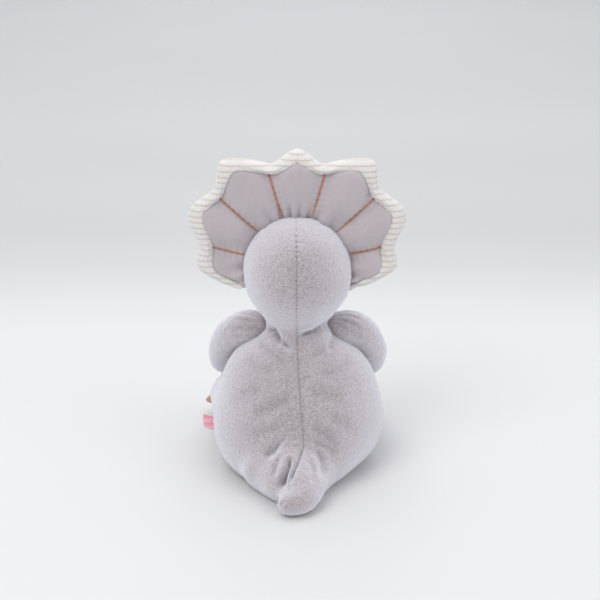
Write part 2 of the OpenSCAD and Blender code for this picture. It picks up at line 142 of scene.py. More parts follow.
def curve(pairs, x):
    """A smooth curve through (place, value) pairs, for a whole array of places."""
    k = np.array(pairs, float)
    xs, ys = k[:, 0], k[:, 1]
    m = np.gradient(ys, xs)
    m[1:-1] = (ys[2:] - ys[:-2]) / (xs[2:] - xs[:-2])
    x = np.clip(np.asarray(x, float), xs[0], xs[-1])
    i = np.clip(np.searchsorted(xs, x, side="right") - 1, 0, len(xs) - 2)
    h = xs[i + 1] - xs[i]
    t = (x - xs[i]) / h
    return ((2 * t**3 - 3 * t**2 + 1) * ys[i] + (t**3 - 2 * t**2 + t) * h * m[i]
            + (3 * t**2 - 2 * t**3) * ys[i + 1] + (t**3 - t**2) * h * m[i + 1])


def smoothstep(a, b, x):
    """Nought up to a, one from b, and a soft rise between them."""
    t = np.clip((np.asarray(x, float) - a) / (b - a), 0, 1)
    return t * t * (3 - 2 * t)


def wrapped(fn, across, along, merge=1e-5):
    """A grid whose every point is moved to fn(u, v), with meeting edges merged."""
    bm = bmesh.new()
    bmesh.ops.create_grid(bm, x_segments=across, y_segments=along, size=0.5)
    uv = np.array([(v.co.x + 0.5, v.co.y + 0.5) for v in bm.verts])
    places = fn(uv[:, 0], uv[:, 1])
    for v, p in zip(bm.verts, places):
        v.co = p
    bmesh.ops.remove_doubles(bm, verts=bm.verts, dist=merge)
    bmesh.ops.dissolve_degenerate(bm, edges=bm.edges, dist=merge / 2)
    bmesh.ops.recalc_face_normals(bm, faces=bm.faces)
    return bm


def new_object(name, bm):
    """A new object whose mesh is bm, which is freed."""
    mesh = bpy.data.meshes.new(name)
    bm.to_mesh(mesh)
    bm.free()
    obj = bpy.data.objects.new(name, mesh)
    bpy.context.scene.collection.objects.link(obj)
    return obj


def settle(obj):
    """Applies every modifier of a piece."""
    bpy.context.view_layer.update()
    graph = bpy.context.evaluated_depsgraph_get()
    mesh = bpy.data.meshes.new_from_object(obj.evaluated_get(graph))
    obj.modifiers.clear()
    old = obj.data
    obj.data = mesh
    bpy.data.meshes.remove(old)
    mesh.name = obj.name
    return obj


def joined(forms):
    """Several forms as one bmesh; each of them is freed."""
    total = bmesh.new()
    for form in forms:
        mesh = bpy.data.meshes.new("part")
        form.to_mesh(mesh)
        form.free()
        total.from_mesh(mesh)
        bpy.data.meshes.remove(mesh)
    return total


def remeshed(obj, voxel):
    """Gives a piece an even skin of small squares."""
    mod = obj.modifiers.new("Remesh", "REMESH")
    mod.mode = "VOXEL"
    mod.voxel_size = voxel
    return settle(obj)


def fused(name, parts, voxel, smooth):
    """One closed skin over several closed forms that overlap."""
    obj = remeshed(new_object(name, joined(parts)), voxel)
    bm = bmesh.new()
    bm.from_mesh(obj.data)
    for _ in range(smooth):
        bmesh.ops.smooth_vert(bm, verts=bm.verts, factor=0.5,
                              use_axis_x=True, use_axis_y=True, use_axis_z=True)
    bm.to_mesh(obj.data)
    bm.free()
    return obj


def finer(obj, levels=1):
    """Subdivides a piece smoothly."""
    mod = obj.modifiers.new("Subdivision", "SUBSURF")
    mod.levels = levels
    mod.render_levels = levels
    return settle(obj)


def points_of(obj):
    """Places and normals of a piece's points."""
    n = len(obj.data.vertices)
    co, no = np.zeros(n * 3), np.zeros(n * 3)
    obj.data.vertices.foreach_get("co", co)
    obj.data.vertices.foreach_get("normal", no)
    return co.reshape(-1, 3), no.reshape(-1, 3)


def move_points(obj, co):
    obj.data.vertices.foreach_set("co", np.asarray(co, float).ravel())
    obj.data.update()


def store_painted_shade(obj, values):
    """Stores the painted shade of each point, darkest deep in creases and seams, for the materials."""
    a = obj.data.attributes.get("crease") or obj.data.attributes.new("crease", "FLOAT", "POINT")
    a.data.foreach_set("value", np.clip(values, 0, 1).astype(np.float32))


def lumps(co, size, seed):
    """Soft unevenness of a filling, from -1 to 1, with bumps about size metres wide."""
    rng = np.random.default_rng(seed)
    d = rng.normal(size=(14, 3))
    d /= np.linalg.norm(d, axis=1)[:, None]
    d *= 2 * math.pi / (size * rng.uniform(0.7, 1.5, 14))[:, None]
    return np.sin(co @ d.T + rng.uniform(0, 6.28, 14)).sum(axis=1) / 5.0


def line_distance(p, path):
    """Distance of points to a line of straight stretches, and how far along it they lie, 0 to 1."""
    path = np.array(path, float)
    best = np.full(len(p), 1e9)
    along = np.zeros(len(p))
    total = np.linalg.norm(np.diff(path, axis=0), axis=1).sum()
    run = 0.0
    for a, b in zip(path[:-1], path[1:]):
        d = b - a
        length = np.linalg.norm(d)
        t = np.clip(((p - a) @ d) / (length * length), 0, 1)
        dist = np.linalg.norm(p - (a + t[:, None] * d), axis=1)
        near = dist < best
        best[near] = dist[near]
        along[near] = (run + t[near] * length) / total
        run += length
    return best, along


def behind(co):
    """Points as seen from behind and a little above: across, and up."""
    return np.stack([co[:, 0], co[:, 2] * 0.94 - co[:, 1] * 0.342], axis=1)


def fold(flat, path, width, depth):
    """Depth of a soft fold along a path, fading at both ends."""
    d, s = line_distance(flat, path)
    fade = smoothstep(0, 0.25, s) * smoothstep(0, 0.25, 1 - s)
    return depth * np.exp(-((d / width) ** 2)) * fade


def tufts(obj, amount, size=1.5 * MM):
    """Small uneven tufts of pile over a skin."""
    tex = bpy.data.textures.new(obj.name + "_tufts", "CLOUDS")
    tex.noise_scale = size
    tex.noise_depth = 1
    mod = obj.modifiers.new("Tufts", "DISPLACE")
    mod.texture = tex
    mod.texture_coords = "LOCAL"
    mod.strength = amount
    mod.mid_level = 0.5
    settle(obj)
    bpy.data.textures.remove(tex)
    return obj


def dress(obj, mat):
    """Gives a piece its only material and smooth shading."""
    obj.data.materials.clear()
    obj.data.materials.append(mat)
    obj.data.polygons.foreach_set("use_smooth", np.ones(len(obj.data.polygons), bool))
    obj.data.update()


def frame_at(place, normal):
    """A matrix that stands +Z along a direction at a place."""
    return Matrix.Translation(place) @ normal.to_track_quat("Z", "Y").to_matrix().to_4x4()


# ------------------------------------------------------------------ materials


def group(name, inputs, outputs):
    """A node group with named sockets, and its two ends while it is still empty."""
    tree = bpy.data.node_groups.get(name)
    if tree:
        return tree, None, None
    tree = bpy.data.node_groups.new(name, "ShaderNodeTree")
    for label, kind, value in inputs:
        s = tree.interface.new_socket(label, in_out="INPUT", socket_type=kind)
        if value is not None:
            s.default_value = value
    for label, kind in outputs:
        tree.interface.new_socket(label, in_out="OUTPUT", socket_type=kind)
    return tree, tree.nodes.new("NodeGroupInput"), tree.nodes.new("NodeGroupOutput")


def node(tree, kind, **values):
    """A node with its settings; in_0 and so on set its sockets by number."""
    n = tree.nodes.new(kind)
    for k, v in values.items():
        if k.startswith("in_"):
            n.inputs[int(k[3:])].default_value = v
        else:
            setattr(n, k, v)
    return n


def sum_of(tree, op, a, b):
    """A Math node's output; a and b are numbers, sockets or None."""
    n = tree.nodes.new("ShaderNodeMath")
    n.operation = op
    for i, x in enumerate((a, b)):
        if x is None:
            continue
        if isinstance(x, (int, float)):
            n.inputs[i].default_value = x
        else:
            tree.links.new(x, n.inputs[i])
    return n.outputs[0]


def nap_group():
    """Short pile: fine tufts, soft patches where the nap lies another way, and a height."""
    tree, a, z = group("Soft Nap", [
        ("Vector", "NodeSocketVector", None),
        ("Tuft Scale", "NodeSocketFloat", 900.0),
        ("Patch Scale", "NodeSocketFloat", 38.0),
        ("Patchiness", "NodeSocketFloat", 0.35),
    ], [("Shade", "NodeSocketFloat"), ("Height", "NodeSocketFloat")])
    if a is None:
        return tree
    new = tree.links.new
    fine = node(tree, "ShaderNodeTexNoise")
    fine.inputs["Detail"].default_value = 3.0
    fine.inputs["Roughness"].default_value = 0.65
    new(a.outputs["Vector"], fine.inputs["Vector"])
    new(a.outputs["Tuft Scale"], fine.inputs["Scale"])
    patch = node(tree, "ShaderNodeTexNoise")
    patch.inputs["Detail"].default_value = 3.0
    patch.inputs["Distortion"].default_value = 0.6
    new(a.outputs["Vector"], patch.inputs["Vector"])
    new(a.outputs["Patch Scale"], patch.inputs["Scale"])
    middle = node(tree, "ShaderNodeTexNoise")
    middle.inputs["Detail"].default_value = 2.0
    new(a.outputs["Vector"], middle.inputs["Vector"])
    new(sum_of(tree, "MULTIPLY", a.outputs["Tuft Scale"], 0.45), middle.inputs["Scale"])
    grain = sum_of(tree, "ADD", sum_of(tree, "MULTIPLY", fine.outputs[0], 0.84),
                   sum_of(tree, "MULTIPLY", middle.outputs[0], 0.16))
    sharp = node(tree, "ShaderNodeMapRange", in_1=0.37, in_2=0.63)
    new(grain, sharp.inputs[0])
    soft = node(tree, "ShaderNodeMapRange", in_1=0.35, in_2=0.68)
    new(patch.outputs[0], soft.inputs[0])
    mixed = node(tree, "ShaderNodeMix", data_type="FLOAT")
    new(a.outputs["Patchiness"], mixed.inputs[0])
    new(sharp.outputs[0], mixed.inputs[2])
    new(soft.outputs[0], mixed.inputs[3])
    new(mixed.outputs[0], z.inputs["Shade"])
    new(grain, z.inputs["Height"])
    return tree


def stripes_group():
    """Woven stripes at an even pitch along the third axis, a little wavy."""
    tree, a, z = group("Woven Stripes", [
        ("Vector", "NodeSocketVector", None),
        ("Pitch", "NodeSocketFloat", 4.2 * MM),
        ("Width", "NodeSocketFloat", 1.0 * MM),
        ("Waviness", "NodeSocketFloat", 0.9 * MM),
    ], [("Stripe", "NodeSocketFloat"), ("Loops", "NodeSocketFloat")])
    if a is None:
        return tree
    new = tree.links.new
    split = node(tree, "ShaderNodeSeparateXYZ")
    new(a.outputs["Vector"], split.inputs[0])
    wave = node(tree, "ShaderNodeTexNoise")
    wave.inputs["Scale"].default_value = 60.0
    wave.inputs["Detail"].default_value = 1.0
    new(a.outputs["Vector"], wave.inputs["Vector"])
    off = sum_of(tree, "MULTIPLY", sum_of(tree, "SUBTRACT", wave.outputs[0], 0.5), a.outputs["Waviness"])
    fuzz = node(tree, "ShaderNodeTexNoise")
    fuzz.inputs["Scale"].default_value = 1100.0
    fuzz.inputs["Detail"].default_value = 1.0
    new(a.outputs["Vector"], fuzz.inputs["Vector"])
    fuzzy = sum_of(tree, "MULTIPLY", sum_of(tree, "SUBTRACT", fuzz.outputs[0], 0.5), 0.9 * MM)
    height = sum_of(tree, "ADD", sum_of(tree, "ADD", split.outputs[2], off), fuzzy)
    turn = sum_of(tree, "DIVIDE", height, a.outputs["Pitch"])
    place = sum_of(tree, "MULTIPLY", sum_of(tree, "ABSOLUTE", sum_of(
        tree, "SUBTRACT", sum_of(tree, "FRACT", turn, None), 0.5), None), a.outputs["Pitch"])
    edge = node(tree, "ShaderNodeMapRange", interpolation_type="SMOOTHSTEP", in_3=1.0, in_4=0.0)
    new(place, edge.inputs[0])
    new(sum_of(tree, "MULTIPLY", a.outputs["Width"], 0.2), edge.inputs[1])
    new(sum_of(tree, "MULTIPLY", a.outputs["Width"], 0.95), edge.inputs[2])
    new(edge.outputs[0], z.inputs["Stripe"])
    loops = node(tree, "ShaderNodeTexVoronoi")
    loops.inputs["Scale"].default_value = 780.0
    new(a.outputs["Vector"], loops.inputs["Vector"])
    new(loops.outputs["Distance"], z.inputs["Loops"])
    return tree


def weave_group():
    """Fine plain weave across two directions, with soft streaks along the threads."""
    tree, a, z = group("Fine Weave", [
        ("Vector", "NodeSocketVector", None),
        ("Threads", "NodeSocketFloat", 2200.0),
    ], [("Weave", "NodeSocketFloat"), ("Streaks", "NodeSocketFloat")])
    if a is None:
        return tree
    new = tree.links.new
    waves = []
    for axis in ("X", "Z"):
        w = node(tree, "ShaderNodeTexWave", bands_direction=axis)
        w.inputs["Distortion"].default_value = 0.4
        new(a.outputs["Vector"], w.inputs["Vector"])
        new(sum_of(tree, "MULTIPLY", a.outputs["Threads"], 0.16), w.inputs["Scale"])
        waves.append(w.outputs[1])
    new(sum_of(tree, "MULTIPLY", waves[0], waves[1]), z.inputs["Weave"])
    stretch = node(tree, "ShaderNodeMapping")
    stretch.inputs["Scale"].default_value = (1.0, 1.0, 0.08)
    new(a.outputs["Vector"], stretch.inputs[0])
    streak = node(tree, "ShaderNodeTexNoise")
    streak.inputs["Scale"].default_value = 620.0
    streak.inputs["Detail"].default_value = 3.0
    new(stretch.outputs[0], streak.inputs["Vector"])
    new(streak.outputs[0], z.inputs["Streaks"])
    return tree


def crease_group():
    """Darkens a colour by the painted shade that the piece stores for its creases and seams."""
    tree, a, z = group("Crease Shade", [
        ("Color", "NodeSocketColor", None),
        ("Dark", "NodeSocketColor", None),
        ("Reach", "NodeSocketFloat", 1.0),
    ], [("Color", "NodeSocketColor")])
    if a is None:
        return tree
    depth = node(tree, "ShaderNodeAttribute", attribute_name="crease")
    amount = sum_of(tree, "MULTIPLY", depth.outputs["Fac"], a.outputs["Reach"])
    tree.links.new(blend_colours(tree, amount, a.outputs["Color"], a.outputs["Dark"]), z.inputs["Color"])
    return tree


def painted_sheen_group():
    """Painted sheen: the pile's colour turns paler where it is seen from the side."""
    tree, a, z = group("Painted Pile Sheen", [
        ("Color", "NodeSocketColor", None),
        ("Pale", "NodeSocketColor", None),
        ("Facing", "NodeSocketFloat", 0.0),
        ("Amount", "NodeSocketFloat", 1.0),
    ], [("Color", "NodeSocketColor")])
    if a is None:
        return tree
    side = sum_of(tree, "POWER", a.outputs["Facing"], 0.86)
    edge = sum_of(tree, "MULTIPLY", side, a.outputs["Amount"])
    tree.links.new(blend_colours(tree, edge, a.outputs["Color"], a.outputs["Pale"]), z.inputs["Color"])
    return tree


def ply_shading_group():
    """Painted shade in the grooves between the plies of a thread and painted highlight on their crowns, and
    their height.
    """
    tree, a, z = group("Twisted Ply Shading", [
        ("Vector", "NodeSocketVector", None),
        ("Dark", "NodeSocketColor", None),
        ("Pale", "NodeSocketColor", None),
    ], [("Color", "NodeSocketColor"), ("Height", "NodeSocketFloat")])
    if a is None:
        return tree
    split = node(tree, "ShaderNodeSeparateXYZ")
    tree.links.new(a.outputs["Vector"], split.inputs[0])
    twist = sum_of(tree, "ADD", sum_of(tree, "MULTIPLY", split.outputs[0], 2.0),
                   sum_of(tree, "MULTIPLY", split.outputs[1], 3.0))
    ply = sum_of(tree, "ABSOLUTE", sum_of(tree, "SUBTRACT", sum_of(tree, "FRACT", twist, None), 0.5), None)
    mask = sum_of(tree, "MULTIPLY", ply, 2.0)
    tree.links.new(blend_colours(tree, mask, a.outputs["Dark"], a.outputs["Pale"]), z.inputs["Color"])
    tree.links.new(mask, z.inputs["Height"])
    return tree


def material(name):
    """A new material, its tree, its shader and Object coordinates; or one that is there already."""
    m = bpy.data.materials.get(name)
    if m:
        return m, None, None, None
    m = bpy.data.materials.new(name)
    m.use_nodes = True
    tree = m.node_tree
    coords = tree.nodes.new("ShaderNodeTexCoord")
    return m, tree, tree.nodes["Principled BSDF"], coords.outputs["Object"]


def put(tree, grp, **values):
    """Places a node group; each value is a number, a colour or a socket to link from."""
    n = tree.nodes.new("ShaderNodeGroup")
    n.node_tree = grp
    for k, v in values.items():
        socket = n.inputs[k.replace("_", " ")]
        if isinstance(v, bpy.types.NodeSocket):
            tree.links.new(v, socket)
        else:
            socket.default_value = (*v, 1.0) if isinstance(v, tuple) else v
    return n


def finish(shader, **values):
    """Sets the shader's own sockets."""
    for k, v in values.items():
        shader.inputs[k.replace("_", " ")].default_value = v


def scaled(colour, amount):
    """A colour made darker or paler, at most white."""
    return tuple(min(1.0, x * amount) for x in colour)


def blend_colours(tree, factor, a, b, how="MIX"):
    """A Mix node's output; a and b are colours or sockets."""
    n = tree.nodes.new("ShaderNodeMix")
    n.data_type = "RGBA"
    n.blend_type = how
    for i, x in ((0, factor), (6, a), (7, b)):
        if isinstance(x, (int, float)):
            n.inputs[i].default_value = x
        elif isinstance(x, bpy.types.NodeSocket):
            tree.links.new(x, n.inputs[i])
        else:
            n.inputs[i].default_value = (*tuple(x)[:3], 1.0)
    return n.outputs[2]


def bump(tree, shader, height, strength, distance):
    """Raises the surface by a height."""
    n = tree.nodes.new("ShaderNodeBump")
    n.inputs["Strength"].default_value = strength
    n.inputs["Distance"].default_value = distance
    tree.links.new(height, n.inputs["Height"])
    tree.links.new(n.outputs[0], shader.inputs["Normal"])


def creased(tree, colour, shade_colour, reach):
    """A colour darkened by painted shade in the creases and seams."""
    return put(tree, crease_group(), Color=colour, Dark=shade_colour, Reach=reach).outputs[0]


def with_painted_sheen(tree, shader, colour, sheen_colour, amount):
    """Gives the shader a colour with a painted sheen, paler where the pile is seen from the side."""
    weight = node(tree, "ShaderNodeLayerWeight", in_0=0.42)
    edge = put(tree, painted_sheen_group(), Color=colour, Pale=sheen_colour, Facing=weight.outputs["Facing"], Amount=amount)
    tree.links.new(edge.outputs[0], shader.inputs["Base Color"])


def plush_material():
    """Short lilac grey pile."""
    m, tree, shader, at = material("Lilac Grey Plush")
    if tree is None:
        return m
    c = colours()
    nap = put(tree, nap_group(), Vector=at, Tuft_Scale=820.0, Patch_Scale=40.0, Patchiness=0.1)
    colour = blend_colours(tree, nap.outputs["Shade"], c.plush_shade, c.plush)
    # painted shade in the creases and seams, and a painted sheen where the pile is seen from the side
    with_painted_sheen(tree, shader, creased(tree, colour, scaled(c.plush_shade, 0.42), 0.85), (0.92, 0.915, 0.99), 1.0)
    finish(shader, Roughness=0.95, Specular_IOR_Level=0.15, Sheen_Weight=0.6, Sheen_Roughness=0.35,
           Sheen_Tint=(0.94, 0.96, 1.0, 1.0))
    bump(tree, shader, nap.outputs["Height"], 1.0, 1.1 * MM)
    return m


def velour_material():
    """Pale velour with thin woven stripes."""
    m, tree, shader, at = material("Striped Velour")
    if tree is None:
        return m
    c, s = colours(), sizes()
    stripes = put(tree, stripes_group(), Vector=at, Pitch=s.stripe_pitch, Width=s.stripe_width)
    nap = put(tree, nap_group(), Vector=at, Tuft_Scale=1000.0, Patchiness=0.2)
    ground = blend_colours(tree, nap.outputs["Shade"], scaled(c.velour, 0.84), c.velour)
    colour = blend_colours(tree, sum_of(tree, "MULTIPLY", stripes.outputs["Stripe"], 0.62), ground, c.stripe)
    # painted shade in the creases and seams, and a painted sheen where the pile is seen from the side
    with_painted_sheen(tree, shader, creased(tree, colour, scaled(c.stripe, 0.3), 0.8), (0.92, 0.91, 0.92), 0.5)
    finish(shader, Roughness=0.95, Specular_IOR_Level=0.15, Sheen_Weight=0.5, Sheen_Roughness=0.4)
    height = sum_of(tree, "SUBTRACT", nap.outputs["Height"],
                    sum_of(tree, "MULTIPLY", stripes.outputs["Stripe"], 0.25))
    bump(tree, shader, height, 0.8, 0.8 * MM)
    return m


def cotton_material():
    """Smooth cotton with a fine weave and soft streaks."""
    m, tree, shader, at = material("Smooth Cotton Sateen")
    if tree is None:
        return m
    c = colours()
    weave = put(tree, weave_group(), Vector=at)
    colour = blend_colours(tree, weave.outputs["Streaks"], scaled(c.cotton, 0.94), scaled(c.cotton, 1.07))
    # painted shade in the creases and seams, and a painted sheen where the cloth is seen from the side
    with_painted_sheen(tree, shader, creased(tree, colour, scaled(c.cotton, 0.35), 0.8), (0.78, 0.75, 0.79), 0.55)
    finish(shader, Roughness=0.55, Specular_IOR_Level=0.3, Sheen_Weight=0.25, Sheen_Roughness=0.5)
    height = sum_of(tree, "ADD", weave.outputs["Weave"],
                    sum_of(tree, "MULTIPLY", weave.outputs["Streaks"], 0.3))
    bump(tree, shader, height, 0.35, 0.15 * MM)
    return m


def suede_material():
    """Brushed suede of the horns and claws."""
    m, tree, shader, at = material("Brushed Suede")
    if tree is None:
        return m
    c = colours()
    nap = put(tree, nap_group(), Vector=at, Tuft_Scale=1400.0, Patch_Scale=160.0, Patchiness=0.5)
    colour = blend_colours(tree, nap.outputs["Shade"], scaled(c.suede, 0.72), c.suede)
    # painted shade in the creases
    tree.links.new(creased(tree, colour, scaled(c.suede, 0.35), 0.8), shader.inputs["Base Color"])
    finish(shader, Roughness=0.85, Sheen_Weight=0.4, Sheen_Roughness=0.4)
    bump(tree, shader, nap.outputs["Height"], 0.5, 0.3 * MM)
    return m


def thread_material(name, colour, shine):
    """Twisted thread, with painted shade in the grooves between its plies and painted highlight on their
    crowns.
    """
    m, tree, shader, _ = material(name)
    if tree is None:
        return m
    uv = node(tree, "ShaderNodeUVMap")
    # the darker copy of the thread colour is painted shade, the paler copy painted highlight
    ply = put(tree, ply_shading_group(), Vector=uv.outputs[0], Dark=scaled(colour, 0.45), Pale=scaled(colour, 1.25))
    tree.links.new(ply.outputs["Color"], shader.inputs["Base Color"])
    finish(shader, Roughness=shine, Sheen_Weight=0.2)
    bump(tree, shader, ply.outputs["Height"], 0.6, 0.25 * MM)
    return m


def ribbon_material():
    """Woven ribbon with plain pink bands."""
    m, tree, shader, at = material("Woven Ribbon")
    if tree is None:
        return m
    c = colours()
    weave = put(tree, weave_group(), Vector=at, Threads=3000.0)
    band = node(tree, "ShaderNodeTexWave", bands_direction="Z")
    band.inputs["Scale"].default_value = 55.0
    band.inputs["Distortion"].default_value = 1.5
    tree.links.new(at, band.inputs["Vector"])
    deep = (c.ribbon[0] * 0.95, c.ribbon[1] * 0.5, c.ribbon[2] * 0.6)
    colour = blend_colours(tree, sum_of(tree, "MULTIPLY", band.outputs[1], 0.7), c.ribbon, deep)
    tree.links.new(colour, shader.inputs["Base Color"])
    finish(shader, Roughness=0.5, Sheen_Weight=0.2)
    bump(tree, shader, weave.outputs["Weave"], 0.4, 0.15 * MM)
    return m


# painted light and shade on the paper: how far towards the back of the paper, and the grey painted there for
# the light that falls on it
PAPER_LIGHT_FALLOFF = ((0.0, 0.7), (0.36, 0.738), (0.41, 0.712), (0.45, 0.674), (0.495, 0.64), (0.565, 0.622),
               (0.7, 0.648), (0.94, 0.69))


def floor_material():
    """Pale paper whose grey is painted lighter and darker from near the viewer, past the toy, to far behind
    it, for how the light falls on it.
    """
    m, tree, shader, at = material("Pale Studio Paper")
    if tree is None:
        return m
    cloudy = node(tree, "ShaderNodeTexNoise")
    cloudy.inputs["Scale"].default_value = 3.0
    tree.links.new(at, cloudy.inputs["Vector"])
    split = node(tree, "ShaderNodeSeparateXYZ")
    tree.links.new(at, split.inputs[0])
    far = node(tree, "ShaderNodeMapRange", in_1=0.3, in_2=-1.3)
    tree.links.new(split.outputs[1], far.inputs[0])
    light_falloff = node(tree, "ShaderNodeValToRGB")
    light_falloff.color_ramp.interpolation = "EASE"
    for k, (place, grey) in enumerate(PAPER_LIGHT_FALLOFF):
        stop = light_falloff.color_ramp.elements[k] if k < 2 else light_falloff.color_ramp.elements.new(place)
        stop.position = place
        stop.color = (grey * 0.992, grey, grey * 1.014, 1.0)
    tree.links.new(far.outputs[0], light_falloff.inputs[0])
    mottle = node(tree, "ShaderNodeMapRange", in_3=0.985, in_4=1.015)
    tree.links.new(cloudy.outputs[0], mottle.inputs[0])
    paper = blend_colours(tree, 1.0, light_falloff.outputs[0], mottle.outputs[0], "MULTIPLY")
    tree.links.new(paper, shader.inputs["Base Color"])
    finish(shader, Roughness=0.9, Specular_IOR_Level=0.1)
    return m


# ------------------------------------------------------------------ body


# height, half width, reach behind and reach in front of the body, in millimetres
BODY_ROWS = [
    (0, 0, 0, 0), (0, 22, 26, 18), (0.2, 39, 46, 33), (2.5, 50, 56, 41), (8, 57.5, 60, 45),
    (17, 63, 62, 47.5), (30, 65.8, 60.5, 48), (45, 65.3, 56, 48), (59, 62, 51, 46),
    (70, 58.8, 45.5, 43), (78, 55.8, 41, 40), (86, 51.2, 36.5, 37.5), (92, 46.2, 33.2, 34.5),
    (97.5, 40, 30, 31.5), (102, 34, 27.5, 28.5), (106.5, 28.3, 25.2, 25.8),
    (110.5, 24.6, 23.2, 23.4), (114, 21.5, 21.5, 21.5), (117, 16, 16, 16), (118, 0, 0, 0),
]


def body_drift(z):
    """The heavy lower body sits a little to one side."""
    return -1.4 * MM * (1 - smoothstep(35 * MM, 95 * MM, z))


def body_form(u, v):
    """The pear shape of the body, through its rows, pressed in a little under the belly."""
    rows = np.array(BODY_ROWS, float) * MM
    i = np.arange(len(rows))
    at = v * (len(rows) - 1)
    z = np.maximum(curve(np.stack([i, rows[:, 0]], 1), at), 0.0)
    rx, back, front = (np.maximum(curve(np.stack([i, rows[:, k]], 1), at), 0.0) for k in (1, 2, 3))
    a = 2 * math.pi * u
    pressed = np.where(np.sin(a) < 0, 1 - 0.1 * np.sin(a) ** 2 * smoothstep(0.03, 0.06, z), 1.0)
    tucked = 0.2 * (1 - smoothstep(0.004, 0.055, z)) * (np.cos(a) < 0) * smoothstep(-0.2, 0.6, np.sin(a))
    x = rx * pressed * (1 - tucked) * np.cos(a) + body_drift(z)
    y = MID_Y + 5 * MM * (1 - z / NECK_Z) + np.where(np.sin(a) > 0, back, front) * np.sin(a)
    return np.stack([x, y, z], axis=1)


def tube_form(stations):
    """A tube through (centre, radius[, radius upwards]) stations in millimetres, closed at both ends."""
    c = np.array([s[0] for s in stations], float) * MM
    r = np.array([(s[1], s[-1]) for s in stations], float) * MM
    n = len(c)
    idx = np.arange(n)

    def fn(u, v):
        at = v * (n - 1)
        p = np.stack([curve(np.stack([idx, c[:, k]], 1), at) for k in range(3)], 1)
        e = 0.02
        q = np.stack([curve(np.stack([idx, c[:, k]], 1), np.minimum(at + e, n - 1)) for k in range(3)], 1)
        o = np.stack([curve(np.stack([idx, c[:, k]], 1), np.maximum(at - e, 0)) for k in range(3)], 1)
        d = q - o
        d /= np.linalg.norm(d, axis=1)[:, None] + 1e-12
        wide, tall = (np.maximum(curve(np.stack([idx, r[:, k]], 1), at), 0.0)[:, None] for k in (0, 1))
        side = np.cross(d, np.array([0.0, 0.02, 1.0]))
        side /= np.linalg.norm(side, axis=1)[:, None] + 1e-12
        top = np.cross(side, d)
        a = 2 * math.pi * u
        return p + np.cos(a)[:, None] * side * wide + np.sin(a)[:, None] * top * tall

    return fn


TAIL = [((3, 18, 20), 0), ((3.2, 20, 20), 30, 22), ((3.2, 42, 17.5), 39, 24.5), ((1.6, 54, 16), 32.4, 23),
        ((0.2, 64, 14.8), 26, 19.6), ((-1.6, 72, 13.4), 20.8, 16.4), ((-2.2, 78, 12.1), 17, 14),
        ((-1.6, 83, 11), 13.8, 11.8), ((1.2, 86.6, 10.2), 11, 10.2), ((6.2, 88, 9.8), 9.3, 9.3),
        ((10.6, 87.4, 9.6), 7.9, 7.9), ((13.2, 86.4, 9.5), 4.8, 4.8), ((14.3, 85.8, 9.5), 0)]


def seam_x(z):
    """Where the centre back seam runs."""
    return curve([(0.0, -0.0050), (0.02, -0.0052), (0.048, -0.0045), (0.075, -0.0019),
                  (0.105, -0.0002), (0.14, 0.0001), (0.2, 0.0004)], z)


def back_seam(co, depth, width):
    """Presses the centre back seam in, with a small dimple at each stitch, and gives the painted shade along
    it.
    """
    d = np.abs(co[:, 0] - seam_x(co[:, 2]))
    dimple = 0.75 + 0.25 * np.cos(2 * math.pi * co[:, 2] / (3.1 * MM))
    line = np.exp(-((d / width) ** 2))
    return depth * line * dimple, line * (0.35 + 0.45 * dimple)


BACK_FOLDS = (
    # points across and up in millimetres, as seen from behind; then width and depth
    ([(25, 108), (14, 97), (2, 87)], 3.0, 3.3), ([(-28, 111), (-13, 102), (2, 97)], 2.4, 3.2),
    ([(20, 106), (15, 98), (13, 90)], 1.8, 1.8), ([(30, 96), (20, 87), (6, 76)], 3.6, 1.3),
    ([(-32, 99), (-24, 90), (-8, 82)], 3.6, 1.2), ([(40, 84), (30, 76), (14, 70)], 4.2, 0.9),
    ([(-42, 84), (-32, 74), (-14, 68)], 4.2, 0.8), ([(-30, 104), (-25, 95), (-25, 86)], 2.2, 1.1),
    ([(3.4, 12), (8.0, 1), (12.6, -12)], 2.3, 5.5), ([(-5.4, 20), (-1.6, 9), (2.4, 1), (6, -8)], 1.5, 3.6),
    ([(-9, 24), (-20, 18), (-30, 11)], 3.0, 1.3), ([(-13, 18), (-18, 6), (-20, -6)], 2.6, 1.6),
    ([(10, 24), (17, 15), (26, 9)], 3.0, 1.7), ([(5, 27), (14, 20), (21, 10)], 2.4, 1.4),
    ([(6, 34), (20, 30), (36, 24)], 3.6, 1.1), ([(12, 14), (15, 6), (18, -4)], 2.2, 1.4),
    ([(-8, 34), (-20, 27), (-30, 17)], 3.4, 1.3), ([(2, 55), (16, 47), (34, 40)], 4.4, 1.3),
    ([(-6, 62), (-20, 54), (-36, 52)], 5.0, 0.9), ([(-9, 10), (-12, 1), (-11, -8)], 2.0, 1.1),
    ([(-20, 40), (-34, 34), (-46, 24)], 4.0, 0.8), ([(22, 60), (36, 56), (50, 46)], 4.6, 0.8),
)

# the neck is cut from the body and from the head by two planes that lean the same way
LEAN = Vector((0, -0.45, 0.893))
NECK_CUTS = (Vector((0, MID_Y, 100 * MM)), Vector((0, MID_Y, 119 * MM)))

# half width of the belly panel at the floor, how much it narrows upwards, and its lower edge
BELLY_HALF = 31 * MM
BELLY_TAPER = 0.12
BELLY_LOW = 9 * MM
BELLY_Y = MID_Y - 2 * MM


